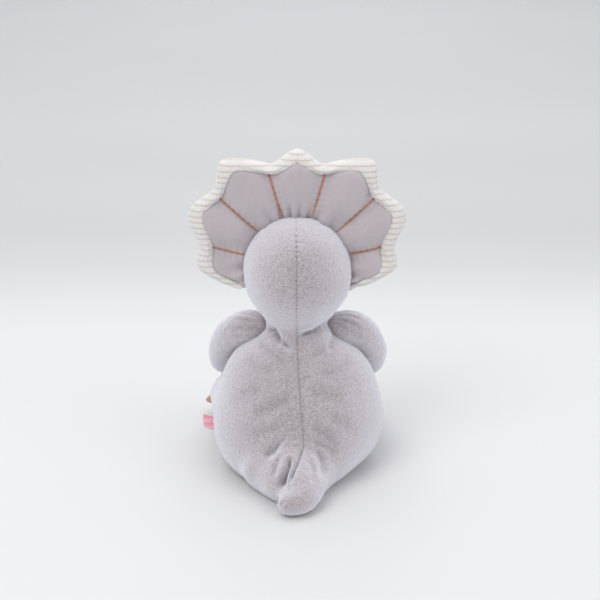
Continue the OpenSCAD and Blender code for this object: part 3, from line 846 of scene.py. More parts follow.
def whole_skin():
    """Body, tail, neck and head as one sewn skin, with its seams, folds, pile and the painted shade in its
    seams and folds.
    """
    hz, my = HEAD_C.z / MM, MID_Y / MM
    parts = [wrapped(body_form, 96, 76), wrapped(tube_form(TAIL), 64, 60), wrapped(head_neck, 96, 72),
             wrapped(egg((0, my - 41, hz - 9), (25, 33, 21)), 64, 40),
             wrapped(egg((0, my - 22, hz - 8), (33, 26, 26)), 64, 40)]
    obj = fused("whole_skin", parts, 3.0 * MM, 4)
    finer(obj, 2)
    co, no = points_of(obj)
    back = smoothstep(-0.006, 0.01, co[:, 1] - MID_Y)
    flat = behind(co)
    on_tail = 1 - smoothstep(0.013, 0.019, flat[:, 1])
    push, line = back_seam(co, 1.0 * MM, 1.1 * MM)
    push = -push * back * (1 - on_tail)
    # painted shade along the centre back seam; the folds and pits below add their own
    crease = line * back * 0.78 * (1 - on_tail)
    for path, width, depth in BACK_FOLDS:
        amount = fold(flat, [(x * MM, y * MM) for x, y in path], width * MM, depth * MM) * back
        push -= amount
        crease = np.maximum(crease, amount / (4.2 * MM))
    # the small pits where a seam ends, at the shoulder and on the tip of the tail, with painted shade in
    # them
    for across, up, width, depth in ((20, 103, 1.6, 1.2), (11, -20, 1.7, 1.6)):
        gap = np.hypot(flat[:, 0] - across * MM, flat[:, 1] - up * MM)
        pit = np.exp(-((gap / (width * MM)) ** 2)) * back
        push -= depth * MM * pit
        crease = np.maximum(crease, 0.4 * pit)
    # the seam down the middle of the face, pressed in and given painted shade
    front = 1 - smoothstep(-0.02, -0.008, co[:, 1] - MID_Y)
    brow = smoothstep(-0.004, 0.004, co[:, 2] - HEAD_C.z + 9 * MM)
    mid = np.exp(-((co[:, 0] / (1.1 * MM)) ** 2)) * front * brow
    push -= 0.7 * MM * mid
    crease = np.maximum(crease, 0.45 * mid)
    push += 0.5 * MM * lumps(co, 0.045, 3) * smoothstep(0.004, 0.02, co[:, 2])
    co = co + no * push[:, None]
    co[:, 2] = np.where(co[:, 2] < 1.2 * MM, 0.35 * MM + co[:, 2] * 0.1, co[:, 2])
    move_points(obj, co)
    store_painted_shade(obj, crease)
    tufts(obj, sizes().pile)
    co, _ = points_of(obj)
    co[:, 2] = np.maximum(co[:, 2], 0.15 * MM)
    move_points(obj, co)
    return obj


def split(bm, place, normal):
    """Cuts new edges into bm along a plane, without parting it."""
    bmesh.ops.bisect_plane(bm, geom=bm.verts[:] + bm.edges[:] + bm.faces[:], dist=1e-6,
                           plane_co=place, plane_no=normal)


def take(bm, name, pick):
    """Moves the faces that pick() chooses out of bm into a new piece."""
    chosen = [pick(f.calc_center_median()) for f in bm.faces]
    part = bm.copy()
    bmesh.ops.delete(part, geom=[f for f, c in zip(part.faces, chosen) if not c], context="FACES")
    bmesh.ops.delete(bm, geom=[f for f, c in zip(list(bm.faces), chosen) if c], context="FACES")
    return new_object(name, part)


def painted_shade_so_far(obj):
    """The painted shade that a piece has so far, in its creases and seams."""
    old = np.zeros(len(obj.data.vertices), np.float32)
    obj.data.attributes["crease"].data.foreach_get("value", old)
    return old


def seam_in(obj, near, depth, shade):
    """Presses a seam in where near is 1, and paints shade into it."""
    co, no = points_of(obj)
    move_points(obj, co - no * (depth * near)[:, None])
    store_painted_shade(obj, np.maximum(painted_shade_so_far(obj), near * shade))


def surface_of(obj):
    """The surface of a piece, for finding its nearest point or where a ray meets it."""
    bm = bmesh.new()
    bm.from_mesh(obj.data)
    tree = BVHTree.FromBMesh(bm)
    bm.free()
    return tree


def shaded_by(obj, other):
    """Paints shade on a piece where another piece is pressed against it."""
    reach = 3.2 * MM
    tree = surface_of(other)
    co, _ = points_of(obj)
    low, high = points_of(other)[0].min(axis=0) - reach * 3, points_of(other)[0].max(axis=0) + reach * 3
    near = np.zeros(len(co))
    for i in np.nonzero(((co > low) & (co < high)).all(axis=1))[0]:
        hit, _, _, d = tree.find_nearest(Vector(co[i]), reach * 3)
        if hit is not None:
            near[i] = math.exp(-((d / reach) ** 2))
    store_painted_shade(obj, np.maximum(painted_shade_so_far(obj), near * 0.75))


def finish_piece(obj, mat, nodes, body=None):
    """Dresses a stuffed piece, hides the frame parts it stands for, and hangs it on its body, if one is
    given.
    """
    dress(obj, mat)
    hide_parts(*nodes)
    if body:
        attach(obj, body)


class SEW_OT_body(bpy.types.Operator):
    """Sews the body with its tail, the belly panel and the neck"""

    bl_idname = "sew.body"
    bl_label = "Sew Body, Tail and Neck"

    def execute(self, context):
        whole = whole_skin()
        bm = bmesh.new()
        bm.from_mesh(whole.data)
        bpy.data.objects.remove(whole)
        for place in NECK_CUTS:
            split(bm, place, LEAN)
        low, high = (lambda p, q=q: (p - q).dot(LEAN) < 0 for q in NECK_CUTS)
        # the body lies below both cuts and the neck between them; what is left is the head
        body = take(bm, "body_skin", low)
        neck = take(bm, "neck_skin", high)
        head = bpy.data.meshes.new("head_blank")
        bm.to_mesh(head)
        bm.free()
        context.scene.collection.objects.link(bpy.data.objects.new("head_blank", head))

        bm = bmesh.new()
        bm.from_mesh(body.data)
        for side in (-1, 1):
            split(bm, (side * BELLY_HALF, 0, 0), (side, 0, BELLY_TAPER))
        split(bm, (0, 0, BELLY_LOW), (0, 0, 1))
        panel = take(bm, "belly_skin", lambda p: p.y < BELLY_Y and p.z > BELLY_LOW
                     and abs(p.x) + BELLY_TAPER * p.z < BELLY_HALF)
        bm.to_mesh(body.data)
        bm.free()
        for piece in (body, panel):
            co, _ = points_of(piece)
            # distance from the seam round the panel: its two sides and its lower edge
            edge = np.abs(co[:, 0]) + BELLY_TAPER * co[:, 2] - BELLY_HALF
            rise = co[:, 2] - BELLY_LOW
            d = np.where(edge < 0, np.minimum(np.abs(edge), np.abs(rise)), np.abs(edge))
            d = np.where(rise < 0, np.hypot(np.maximum(edge, 0), rise), d)
            # the seam round the belly panel is pressed in and given painted shade
            seam_in(piece, np.exp(-((d / (1.4 * MM)) ** 2)) * (co[:, 1] < BELLY_Y), 1.0 * MM, 0.7)
        finish_piece(body, plush_material(),
                     ("torso_back_left", "torso_back_right", "seat_panel", "torso_stuffing",
                      "pellet_pouch", "tail_cover", "tail_stuffing"))
        finish_piece(panel, velour_material(), ("belly_panel",), "torso")
        finish_piece(neck, plush_material(), ("neck_cover", "neck_stuffing"))
        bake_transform(body)
        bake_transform(neck)
        return {"FINISHED"}


# ------------------------------------------------------------------ head


def egg(centre, radii):
    """A ball stretched along the axes, in millimetres."""
    c, r = np.array(centre, float) * MM, np.array(radii, float) * MM

    def fn(u, v):
        a, t = 2 * math.pi * u, math.pi * v
        d = np.stack([np.sin(t) * np.cos(a), np.sin(t) * np.sin(a), -np.cos(t)], 1)
        return c + d * r

    return fn


def head_neck(u, v):
    """The head ball and the way it narrows to the neck, from bottom to top."""
    rows = np.array([
        (104.5, 0), (105, 14), (107, 20), (112.5, 22.3), (117, 23.8), (121.5, 26.8), (127, 31),
        (132, 34.4), (138, 37.6), (146, 39.6), (155, 40.0), (164, 39.3), (173, 36.6), (181, 32),
        (188, 25), (193, 17.4), (196, 9), (197, 0)], float) * MM
    i = np.arange(len(rows))
    at = v * (len(rows) - 1)
    z = curve(np.stack([i, rows[:, 0]], 1), at)
    r = np.maximum(curve(np.stack([i, rows[:, 1]], 1), at), 0)
    a = 2 * math.pi * u
    deep = np.where(np.sin(a) > 0, 1.0, 0.97)
    return np.stack([r * np.cos(a), MID_Y + r * np.sin(a) * deep, z], 1)


class SEW_OT_head(bpy.types.Operator):
    """Sews the head: the two back halves, the face and the chin"""

    bl_idname = "sew.head"
    bl_label = "Sew Head"

    def execute(self, context):
        blank = bpy.data.objects["head_blank"]
        chin_z = HEAD_C.z - 15 * MM
        seam_y = MID_Y - 3 * MM
        bm = bmesh.new()
        bm.from_mesh(blank.data)
        bpy.data.objects.remove(blank)
        split(bm, (0, seam_y, 0), (0, 1, 0))
        split(bm, (0, 0, chin_z), (0, 0.08, 1))
        pieces = (
            (take(bm, "head_back_skin", lambda p: p.y > seam_y), plush_material(),
             ("head_back_left", "head_back_right", "head_stuffing"), "plush"),
            (take(bm, "chin_skin", lambda p: p.z - chin_z + 0.08 * p.y < 0), velour_material(),
             ("chin_panel",), "striped_terry"),
            (take(bm, "face_skin", lambda p: True), plush_material(), ("face_left", "face_right"), "plush"),
        )
        bm.free()
        for piece, mat, nodes, slot in pieces:
            co, _ = points_of(piece)
            gap = np.abs(co[:, 2] - chin_z + 0.08 * co[:, 1])
            near = np.exp(-((gap / (1.3 * MM)) ** 2)) * (co[:, 1] < seam_y + 0.1 * MM)
            ring = np.exp(-(((co[:, 1] - seam_y) / (1.4 * MM)) ** 2))
            # the chin and face seams are pressed in and given painted shade
            seam_in(piece, np.maximum(near, ring * 0.8), 1.0 * MM, 0.7)
            finish_piece(piece, mat, nodes)
            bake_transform(piece)
        return {"FINISHED"}


# ------------------------------------------------------------------ frill


# outline of the frill and of the seam of its back panel: degrees from the top, millimetres
FRILL_OUTER = [(0, 90.5), (5, 87), (9, 83.2), (13.5, 81.2), (20, 86.3), (26, 92), (31, 96.8), (34.5, 98.5),
               (37, 96.5), (40, 91.5), (43, 87), (46, 85.4), (52, 87.5), (58, 90.5), (62.5, 90.3), (67, 87),
               (70.5, 81.8), (74, 76.8), (78, 74.2), (83, 74.3), (88, 75.2), (92, 72.6), (97, 65),
               (104, 54.8), (113, 42)]
FRILL_SEAM = [(0, 81), (6.5, 76), (14.5, 73), (22, 79), (28.5, 85.5), (32.5, 86.8), (38.5, 82.5), (46, 76.9),
              (53, 79.2), (59, 80.5), (64, 75.6), (69, 69), (75, 64), (80, 63), (87, 62.6), (93, 59),
              (98.5, 50.6), (105, 43.5), (113, 38.5)]
# degrees of the quilting lines, the radius of the root and how far round each side the frill goes
QUILT_LINES = (-76, -47, -16, 16, 47, 76)
FRILL_IN = 34.5
HALF_ARC = 113.0


def quilt_distance(deg, r):
    """Distance in metres from the nearest quilting line."""
    gaps = [np.abs(np.radians(deg - q)) * r for q in QUILT_LINES]
    return np.min(gaps, axis=0)


def frill_place(deg, t, side):
    """A point of the frill: t is 0 at the head, 1 at the panel seam, 2 at the outer edge."""
    seam = curve(FRILL_SEAM, np.abs(deg)) * MM
    outer = curve(FRILL_OUTER, np.abs(deg)) * MM
    outer = np.maximum(outer, seam + 0.5 * MM)
    r = np.where(t < 1, FRILL_IN * MM + (seam - FRILL_IN * MM) * t, seam + (outer - seam) * (t - 1))
    q = quilt_distance(deg, r)
    pillow = 1 - np.exp(-((q / (8.5 * MM)) ** 1.4))
    pillow = np.where(t > 1.05, np.maximum(pillow, smoothstep(1.0, 1.35, t)), pillow)
    reach = np.maximum(outer - FRILL_IN * MM, 1 * MM)
    edge = np.sqrt(np.clip(1 - ((r - FRILL_IN * MM) / reach) ** 5, 0, 1))
    root = 0.55 + 0.45 * smoothstep(0, 0.5, t)
    tall = (1.6 * MM + 8.2 * MM * pillow) * edge * root
    tall = tall * (0.6 + 0.4 * smoothstep(0, 22 * MM, reach))
    dip = 0.9 * MM * np.exp(-(((r - seam) / (1.3 * MM)) ** 2)) * (edge > 0)
    a = np.radians(deg)
    y = FRILL_Y + side * np.maximum(tall - dip, 0)
    return np.stack([r * np.sin(a), y, HEAD_C.z + r * np.cos(a)], 1)


def frill_form(u, v):
    """Round the frill from one end to the other, and across it from back to front."""
    deg = (2 * u - 1) * HALF_ARC
    side = np.where(v < 0.5, 1.0, -1.0)
    w = 1 - np.abs(2 * v - 1)
    t = np.where(w < 0.66, w / 0.66, 1 + np.sin(np.clip((w - 0.66) / 0.34, 0, 1) * math.pi / 2))
    return frill_place(deg, t, side)


def cloth_puff(obj, pressure, held, frames=16, cap=3.5 * MM, stiff=6.0):
    """Lets a pressure inside fill a sewn skin; points where held is 1 stay put."""
    old, _ = points_of(obj)
    pins = obj.vertex_groups.new(name="held")
    for i, w in enumerate(held):
        if w > 0.01:
            pins.add([i], float(w), "REPLACE")
    mod = obj.modifiers.new("Cloth", "CLOTH")
    s = mod.settings
    s.quality = 5
    s.mass = 0.25
    s.use_pressure = True
    s.uniform_pressure_force = pressure
    s.tension_stiffness = stiff
    s.compression_stiffness = stiff
    s.shear_stiffness = stiff
    s.bending_stiffness = 0.35
    s.effector_weights.gravity = 0
    s.vertex_group_mass = pins.name
    mod.collision_settings.use_collision = False
    mod.point_cache.frame_start = 1
    mod.point_cache.frame_end = frames
    scene = bpy.context.scene
    for f in range(1, frames + 1):
        scene.frame_set(f)
    graph = bpy.context.evaluated_depsgraph_get()
    found = obj.evaluated_get(graph).to_mesh()
    new = np.zeros(len(old) * 3)
    found.vertices.foreach_get("co", new)
    obj.evaluated_get(graph).to_mesh_clear()
    obj.modifiers.clear()
    obj.vertex_groups.clear()
    scene.frame_set(1)
    step = new.reshape(-1, 3) - old
    length = np.linalg.norm(step, axis=1)[:, None] + 1e-9
    move_points(obj, old + step * np.minimum(1, cap / length))
    return obj


def stitch_row(points, normals, pitch, radius):
    """A row of backstitches along a line: plump twisted ovals, each a little across the line."""
    lean = 0.34
    bm = bmesh.new()
    uv = bm.loops.layers.uv.new("UVMap")
    length = [0.0]
    for a, b in zip(points[:-1], points[1:]):
        length.append(length[-1] + (b - a).length)
    count = max(2, round(length[-1] / pitch))

    def at(s, rows):
        s = min(max(s, 0.0), length[-1])
        i = max(k for k in range(len(points)) if length[k] <= s + 1e-9)
        i = min(i, len(points) - 2)
        f = (s - length[i]) / max(length[i + 1] - length[i], 1e-9)
        return rows[i].lerp(rows[i + 1], f)

    for k in range(count):
        s = (k + 0.5) / count * length[-1]
        place, up = at(s, points), at(s, normals).normalized()
        along = (at(s + pitch / 2, points) - at(s - pitch / 2, points)).normalized()
        side = up.cross(along).normalized()
        along = (along + side * lean).normalized()
        side = up.cross(along).normalized()
        turn = Matrix((along, side, up)).transposed().to_4x4()
        size = Matrix.Diagonal((pitch * 0.4, radius * 1.1, radius * 0.95, 1.0))
        lying = Matrix.Rotation(math.pi / 2, 4, "Y")
        m = Matrix.Translation(place + up * radius * 0.45) @ turn @ size @ lying
        made = bmesh.ops.create_uvsphere(bm, u_segments=14, v_segments=12, radius=1.0, calc_uvs=False)
        for v in made["verts"]:
            round_ = math.atan2(v.co.y, v.co.x) / (2 * math.pi)
            length_ = v.co.z
            ply = 1 + 0.1 * math.cos(2 * math.pi * (2 * round_ + 1.5 * length_))
            v.co = Vector((v.co.x * ply, v.co.y * ply, v.co.z))
        for f in {f for v in made["verts"] for f in v.link_faces}:
            for loop in f.loops:
                c = loop.vert.co
                loop[uv].uv = ((math.atan2(c.y, c.x) / (2 * math.pi)) % 1.0, c.z * 0.5)
        bmesh.ops.transform(bm, matrix=m, verts=made["verts"])
    return bm


def round_frill(x, z):
    """Degrees from the top, the distance from the head's middle and how far out the panel seam is there."""
    deg = np.degrees(np.arctan2(x, z - HEAD_C.z))
    return deg, np.hypot(x, z - HEAD_C.z), curve(FRILL_SEAM, np.abs(deg)) * MM


def puffed_frill():
    """The whole frill as one skin, puffed between its quilting lines, seam and root."""
    obj = new_object("frill", wrapped(frill_form, 181, 54, merge=2e-5))
    co, _ = points_of(obj)
    deg, r, seam = round_frill(co[:, 0], co[:, 2])
    q = quilt_distance(deg, r)
    on_line = np.exp(-((q / (1.4 * MM)) ** 2)) * (r < seam)
    held = np.maximum(on_line, np.exp(-(((r - seam) / (1.3 * MM)) ** 2)))
    held = np.maximum(held, (r < (FRILL_IN + 3) * MM) * 1.0)
    held = np.maximum(held, (np.abs(deg) > HALF_ARC - 2) * 1.0)
    cloth_puff(obj, sizes().frill_pressure, np.clip(held, 0, 1))
    finer(obj)
    return finer(obj)


def pucker_frill(obj):
    """Soft puckers beside the quilting lines and the seam, the lie of the filling, and painted shade along
    the lines, the seam and the root.
    """
    co, no = points_of(obj)
    deg, r, seam = round_frill(co[:, 0], co[:, 2])
    q = quilt_distance(deg, r)
    on_line = np.exp(-((q / (0.8 * MM)) ** 2)) * (r < seam + 1 * MM)
    beside = np.exp(-((q / (6 * MM)) ** 2)) * (r < seam)
    pucker = 0.2 * MM * beside * np.sin(2 * math.pi * r / (4.8 * MM) + deg * 0.2)
    near_seam = np.exp(-(((r - seam) / (0.65 * MM)) ** 2))
    along_seam = np.sin(np.radians(deg) * r / (0.75 * MM))
    seam_pucker = 0.07 * MM * np.exp(-(((r - seam) / (5 * MM)) ** 2)) * along_seam
    root = 1 - smoothstep(41 * MM, 54 * MM, r)
    folds = 1.6 * MM * root * np.sin(np.radians(deg) * 23 + 6 * np.sin(np.radians(deg) * 3))
    push = pucker + seam_pucker + folds - 0.7 * MM * on_line - 0.5 * MM * near_seam
    filling = lumps(co * np.array([1.0, 0.3, 0.6]), 0.024, 12)
    push += 1.7 * MM * filling * (r < seam) * smoothstep(0, 5 * MM, q)
    move_points(obj, co + no * push[:, None])
    # painted shade along the quilting lines and the seam, and near the head at the root
    root_shade = 0.5 * (1 - smoothstep(39 * MM, 44 * MM, r))
    store_painted_shade(obj, np.maximum(np.maximum(on_line * 0.75, near_seam * 0.42), root_shade))


def quilting(obj):
    """Twisted backstitches along each quilting line, on both faces of the frill."""
    tree = surface_of(obj)
    rows = []
    start = 41.5 * MM
    for q in QUILT_LINES:
        a = math.radians(q)
        stop = float(curve(FRILL_SEAM, abs(q))) * MM + 0.5 * MM
        for side in (1, -1):
            places = []
            for k in range(24):
                r = start + (stop - start) * k / 23
                p = Vector((r * math.sin(a), FRILL_Y + side * 0.05, HEAD_C.z + r * math.cos(a)))
                hit, _, _, _ = tree.ray_cast(p, Vector((0, -side, 0)))
                if hit is not None:
                    places.append(hit)
            outwards = [Vector((0, side, 0))] * len(places)
            rows.append(stitch_row(places, outwards, sizes().stitch_pitch, sizes().stitch_radius))
    return new_object("frill_stitches", joined(rows))


class SEW_OT_frill(bpy.types.Operator):
    """Sews the quilted frill: smooth back panel, striped border and striped front panel"""

    bl_idname = "sew.frill"
    bl_label = "Sew Frill"

    def execute(self, context):
        obj = puffed_frill()
        pucker_frill(obj)
        bm = bmesh.new()
        bm.from_mesh(obj.data)
        kinds = []
        for f in bm.faces:
            c = f.calc_center_median()
            _, r, seam = round_frill(c.x, c.z)
            kinds.append("border" if r >= seam else ("back" if c.y > FRILL_Y else "front"))
        for kind, mat, nodes, slot in (
            ("back", cotton_material(), ("frill_back_panel", "frill_wadding"), "smooth_cotton"),
            ("border", velour_material(), ("frill_border",), "striped_terry"),
            ("front", velour_material(), ("frill_front_panel",), "striped_terry"),
        ):
            part = bm.copy()
            others = [f for f, k in zip(part.faces, kinds) if k != kind]
            bmesh.ops.delete(part, geom=others, context="FACES")
            piece = new_object(f"frill_{kind}_skin", part)
            if kind != "back":
                tufts(piece, sizes().pile * 0.5, 1.2 * MM)
            finish_piece(piece, mat, nodes, "frill")
        bm.free()
        stitches = quilting(obj)
        dress(stitches, thread_material("Copper Thread", tuple(colours().thread), 0.55))
        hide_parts("frill_stitching")
        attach(stitches, "frill")
        bpy.data.objects.remove(obj)
        return {"FINISHED"}


# ------------------------------------------------------------------ arms and legs


# stations of a left limb from root to tip: place and radius in millimetres
ARM = [((20, -8, 103.5), 0), ((21, -8, 104), 8.5), ((30, -10.5, 107.2), 12.8), ((40, -14, 106), 13.6),
       ((49.2, -19.5, 99), 13.7), ((55, -27.5, 87), 13.6), ((56.8, -38, 75), 13.5),
       ((56, -48.5, 67.2), 13.5), ((52.6, -58, 62.6), 13.6), ((47.8, -66, 60.4), 13.4),
       ((43.4, -72.5, 59.3), 11.4),
       ((41, -76.3, 58.6), 8), ((39.7, -78.6, 58), 3.4), ((39.4, -79.2, 57.9), 0)]
LEG = [((38, -22, 21), 0), ((38.5, -24, 21), 13), ((43, -36, 20.6), 18.4), ((47, -48, 20), 19.3),
       ((49.5, -60, 19.3), 18.4), ((51.5, -72, 18.6), 17), ((53.4, -83, 18.4), 16.6),
       ((54.6, -91, 18.9), 16.6), ((55.2, -95.5, 19.2), 14.8), ((55.5, -97.4, 19.3), 11),
       ((55.6, -98.2, 19.3), 5), ((55.6, -98.4, 19.3), 0)]

# degrees of the claws round the foot: 0 is outwards and 90 is upwards
CLAW_ANGLES = (-27, 84, 140)


def mirrored(stations, side, out=0.0):
    """The same limb on the other side, its far end moved outwards a little."""
    far = stations[-1][0][1]
    near = stations[0][0][1]
    return [(((x + out * (y - near) / (far - near)) * side, y, z), r) for (x, y, z), r in stations]


def limb(name, stations, root, seed):
    """A stuffed limb, puffed by its filling, gathered where it is sewn on."""
    obj = remeshed(new_object(name, wrapped(tube_form(stations), 44, 52)), 4.16 * MM)
    co, _ = points_of(obj)
    held = np.linalg.norm(co - np.array(root) * MM, axis=1) < 14 * MM
    cloth_puff(obj, 2.6, held * 1.0, frames=14, cap=1.6 * MM, stiff=9.0)
    finer(obj)
    finer(obj)
    co, no = points_of(obj)
    axis = np.array(stations[4][0], float) - np.array(stations[2][0], float)
    axis /= np.linalg.norm(axis)
    rel = co - np.array(stations[3][0], float) * MM
    along = rel @ axis
    side = np.cross(axis, [0.0, 0.0, 1.0])
    side /= np.linalg.norm(side)
    turn = np.arctan2(rel @ np.cross(side, axis), rel @ side)
    gather = np.exp(-((along + 6 * MM) / (9 * MM)) ** 2)
    ripple = np.sin(turn * 13 + along * 260)
    push = 0.35 * MM * gather * ripple + 0.5 * MM * lumps(co, 0.03, seed)
    co = co + no * push[:, None]
    co[:, 2] = np.maximum(co[:, 2], 0.35 * MM)
    move_points(obj, co)
    # painted shade in the troughs of the gathers
    store_painted_shade(obj, 0.35 * gather * (0.5 - 0.5 * ripple))
    return obj


class SEW_OT_arms(bpy.types.Operator):
    """Sews the two arms into the shoulder seams"""

    bl_idname = "sew.arms"
    bl_label = "Sew Arms"

    def execute(self, context):
        for name, side in (("left", 1), ("right", -1)):
            obj = limb(f"arm_{name}_skin", mirrored(ARM, side), (28 * side, -10, 103), seed=4 + side)
            tufts(obj, sizes().pile)
            for other in ("body_skin", "neck_skin"):
                shaded_by(obj, bpy.data.objects[other])
                shaded_by(bpy.data.objects[other], obj)
            finish_piece(obj, plush_material(), (f"arm_{name}", f"arm_{name}_stuffing"))
            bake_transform(obj)
        return {"FINISHED"}


class SEW_OT_legs(bpy.types.Operator):
    """Sews the two legs with their soles and claws"""

    bl_idname = "sew.legs"
    bl_label = "Sew Legs, Soles and Claws"

    def execute(self, context):
        for name, side, tuck in (("left", 1, 2.2), ("right", -1, -5.0)):
            stations = mirrored(LEG, side, tuck)
            obj = limb(f"leg_{name}_skin", stations, (42 * side, -34, 20.5), seed=14 + side)
            tufts(obj, sizes().pile)
            finish_piece(obj, plush_material(), (f"leg_{name}", f"leg_{name}_stuffing"))
            end = Vector(stations[-1][0]) * MM
            self.sole(name, side, end)
            self.claws(name, side, end)
            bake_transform(obj)
        return {"FINISHED"}

    def sole(self, name, side, end):
        """A thin round pad on the end of the foot."""
        bm = bmesh.new()
        bmesh.ops.create_uvsphere(bm, u_segments=64, v_segments=32, radius=1.0)
        place = frame_at(end + Vector((0, 1.0 * MM, 0)), Vector((0.04 * side, -1, 0.0)))
        size = Matrix.Diagonal((12.8 * MM, 12.8 * MM, 2.4 * MM, 1))
        bmesh.ops.transform(bm, matrix=place @ size, verts=bm.verts)
        obj = new_object(f"sole_{name}_pad", bm)
        co, _ = points_of(obj)
        r = np.hypot(co[:, 0] - end.x, co[:, 2] - end.z)
        # painted shade round the rim of the pad, where it meets the leg
        store_painted_shade(obj, 0.7 * smoothstep(11.2 * MM, 12.6 * MM, r))
        finer(obj)
        tufts(obj, sizes().pile * 0.5, 1.2 * MM)
        finish_piece(obj, velour_material(), (f"sole_{name}",), f"{name}_leg")

    def claws(self, name, side, end):
        """Three small suede claws round the rim of the foot."""
        forms = []
        for angle in CLAW_ANGLES:
            a = math.radians(angle)
            out = Vector((math.cos(a) * side, -0.32, math.sin(a))).normalized()
            centre = end + Vector((0, 8.5 * MM, 0))
            start = centre + Vector((math.cos(a) * side, 0, math.sin(a))) * 13.2 * MM
            forms.append(wrapped(cone_form(start, out, 8.2 * MM, 4.4 * MM, Vector((0, -0.2, 0))), 28, 22))
        obj = new_object(f"claws_{name}_suede", joined(forms))
        store_painted_shade(obj, np.zeros(len(obj.data.vertices)))
        finer(obj)
        finish_piece(obj, suede_material(), (f"claws_{name}",), f"{name}_leg")


def cone_form(start, out, length, radius, bend):
    """A stuffed cone with a round tip, closed underneath."""
    out = out.normalized()
    side = out.cross(Vector((0.3, 0.2, 1))).normalized()
    top = side.cross(out)
    s, o, q, t, b = (np.array(x) for x in (start, out, side, top, bend))

    def fn(u, v):
        a = 2 * math.pi * u
        h = curve([(0, 0), (0.12, 0), (0.25, 0.02), (0.9, 0.97), (1, 1)], v)
        r = curve([(0, 0), (0.12, 0.75), (0.22, 1.0), (0.45, 0.86), (0.7, 0.58), (0.88, 0.27),
                   (0.95, 0.16), (1, 0)], v)
        r = np.maximum(r, 0) * radius
        ring = np.cos(a)[:, None] * q + np.sin(a)[:, None] * t
        return s + h[:, None] * length * o + (h * h)[:, None] * length * b + r[:, None] * ring

    return fn


# ------------------------------------------------------------------ horns and face


def on_surface(tree, direction, lift):
    """Where a ray out of the middle of the head leaves the skin."""
    d = Vector(direction).normalized()
    far = HEAD_C + d * 0.15
    hit, normal, _, _ = tree.ray_cast(far, -d)
    return hit + normal * lift, normal


class SEW_OT_horns(bpy.types.Operator):
    """Sews the two brow horns and the small nose horn"""

    bl_idname = "sew.horns"
    bl_label = "Sew Horns"

    def execute(self, context):
        tree = surface_of(bpy.data.objects["face_skin"])
        for name, direction, length, radius, bend in (
            ("brow_horn_left", (0.47, -0.6, 0.65), 30, 8, (0, -0.12, 0.1)),
            ("brow_horn_right", (-0.47, -0.6, 0.65), 30, 8, (0, -0.12, 0.1)),
            ("nose_horn", (0, -0.97, 0.1), 13, 5.5, (0, 0, 0.15)),
        ):
            place, normal = on_surface(tree, direction, -2.5 * MM)
            out = Vector(direction).normalized()
            obj = new_object(name + "_suede", wrapped(
                cone_form(place, out, length * MM, radius * MM, Vector(bend)), 48, 40))
            store_painted_shade(obj, np.zeros(len(obj.data.vertices)))
            finer(obj)
            co, no = points_of(obj)
            move_points(obj, co + no * (0.35 * MM * lumps(co, 0.014, 21))[:, None])
            finish_piece(obj, suede_material(), (name,), "head")
        return {"FINISHED"}


class SEW_OT_embroidery(bpy.types.Operator):
    """Embroiders the eyes and nostrils in satin stitch"""

    bl_idname = "sew.embroidery"
    bl_label = "Embroider Eyes and Nostrils"

    def execute(self, context):
        tree = surface_of(bpy.data.objects["face_skin"])
        eye_thread = thread_material("Eye Thread", (0.012, 0.01, 0.012), 0.35)
        nostril_thread = thread_material("Nostril Thread", (0.1, 0.07, 0.08), 0.35)
        for nodes, name, slot, mat, spots, radius in (
            ("eye_left", "eye_left_stitch", "eye_thread", eye_thread, [(0.62, -0.78, 0.08)], 3.6),
            ("eye_right", "eye_right_stitch", "eye_thread", eye_thread, [(-0.62, -0.78, 0.08)], 3.6),
            ("nostrils", "nostril_stitch", "nostril_thread", nostril_thread,
             [(0.17, -0.97, -0.04), (-0.17, -0.97, -0.04)], 1.8),
        ):
            forms = []
            for spot in spots:
                place, normal = on_surface(tree, spot, 0.1 * MM)
                form = bmesh.new()
                uv = form.loops.layers.uv.new("UVMap")
                bmesh.ops.create_uvsphere(form, u_segments=48, v_segments=32, radius=1.0)
                for f in form.faces:
                    for loop in f.loops:
                        loop[uv].uv = (loop.vert.co.x * 4.0, 0.0)
                size = Matrix.Diagonal((radius * MM, radius * 1.15 * MM, 1.3 * MM, 1))
                bmesh.ops.transform(form, matrix=frame_at(place, normal) @ size, verts=form.verts)
                forms.append(form)
            obj = new_object(name, joined(forms))
            dress(obj, mat)
            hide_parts(nodes)
            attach(obj, "head")
        return {"FINISHED"}


# ------------------------------------------------------------------ label


class SEW_OT_label(bpy.types.Operator):
    """Folds the woven label and sews it into the side seam"""

    bl_idname = "sew.label"
    bl_label = "Sew Label"

    def execute(self, context):
        wide = 10.5 * MM
        reach = 8.6 * MM
        gap = 0.55 * MM
        bend = 0.12
        sunk = 3.4 * MM
        root = (LABEL_LOW + LABEL_HIGH) / 2
        root.x = LABEL_LOW.x - sunk

        def fn(u, v):
            # s runs from one end of the ribbon, over the fold at nought, to the other end
            s = (u - 0.5) * 2
            leaf = np.abs(s) > bend
            turn = np.clip(s / bend, -1, 1) * math.pi / 2
            x = np.where(leaf, (1 - (np.abs(s) - bend) / (1 - bend)) * reach, reach + gap * np.cos(turn))
            y = np.where(leaf, np.sign(s) * gap, gap * np.sin(turn))
            y = y * smoothstep(0, 0.3, x / reach + 0.12) + 0.6 * MM * np.sin(x / reach * 2.4)
            y += 0.4 * MM * (v - 0.5)
            z = (v - 0.5) * wide + 0.42 * x + 2.5 * MM + 0.25 * MM * np.sin(x * 700)
            return np.stack([root.x + x, root.y + y, root.z + z], 1)

        obj = new_object("woven_label", wrapped(fn, 61, 25, merge=1e-7))
        mod = obj.modifiers.new("Thickness", "SOLIDIFY")
        mod.thickness = 0.3 * MM
        mod.offset = 0.0
        settle(obj)
        dress(obj, ribbon_material())
        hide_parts("side_label")
        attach(obj, "label")
        return {"FINISHED"}


# ------------------------------------------------------------------ stage


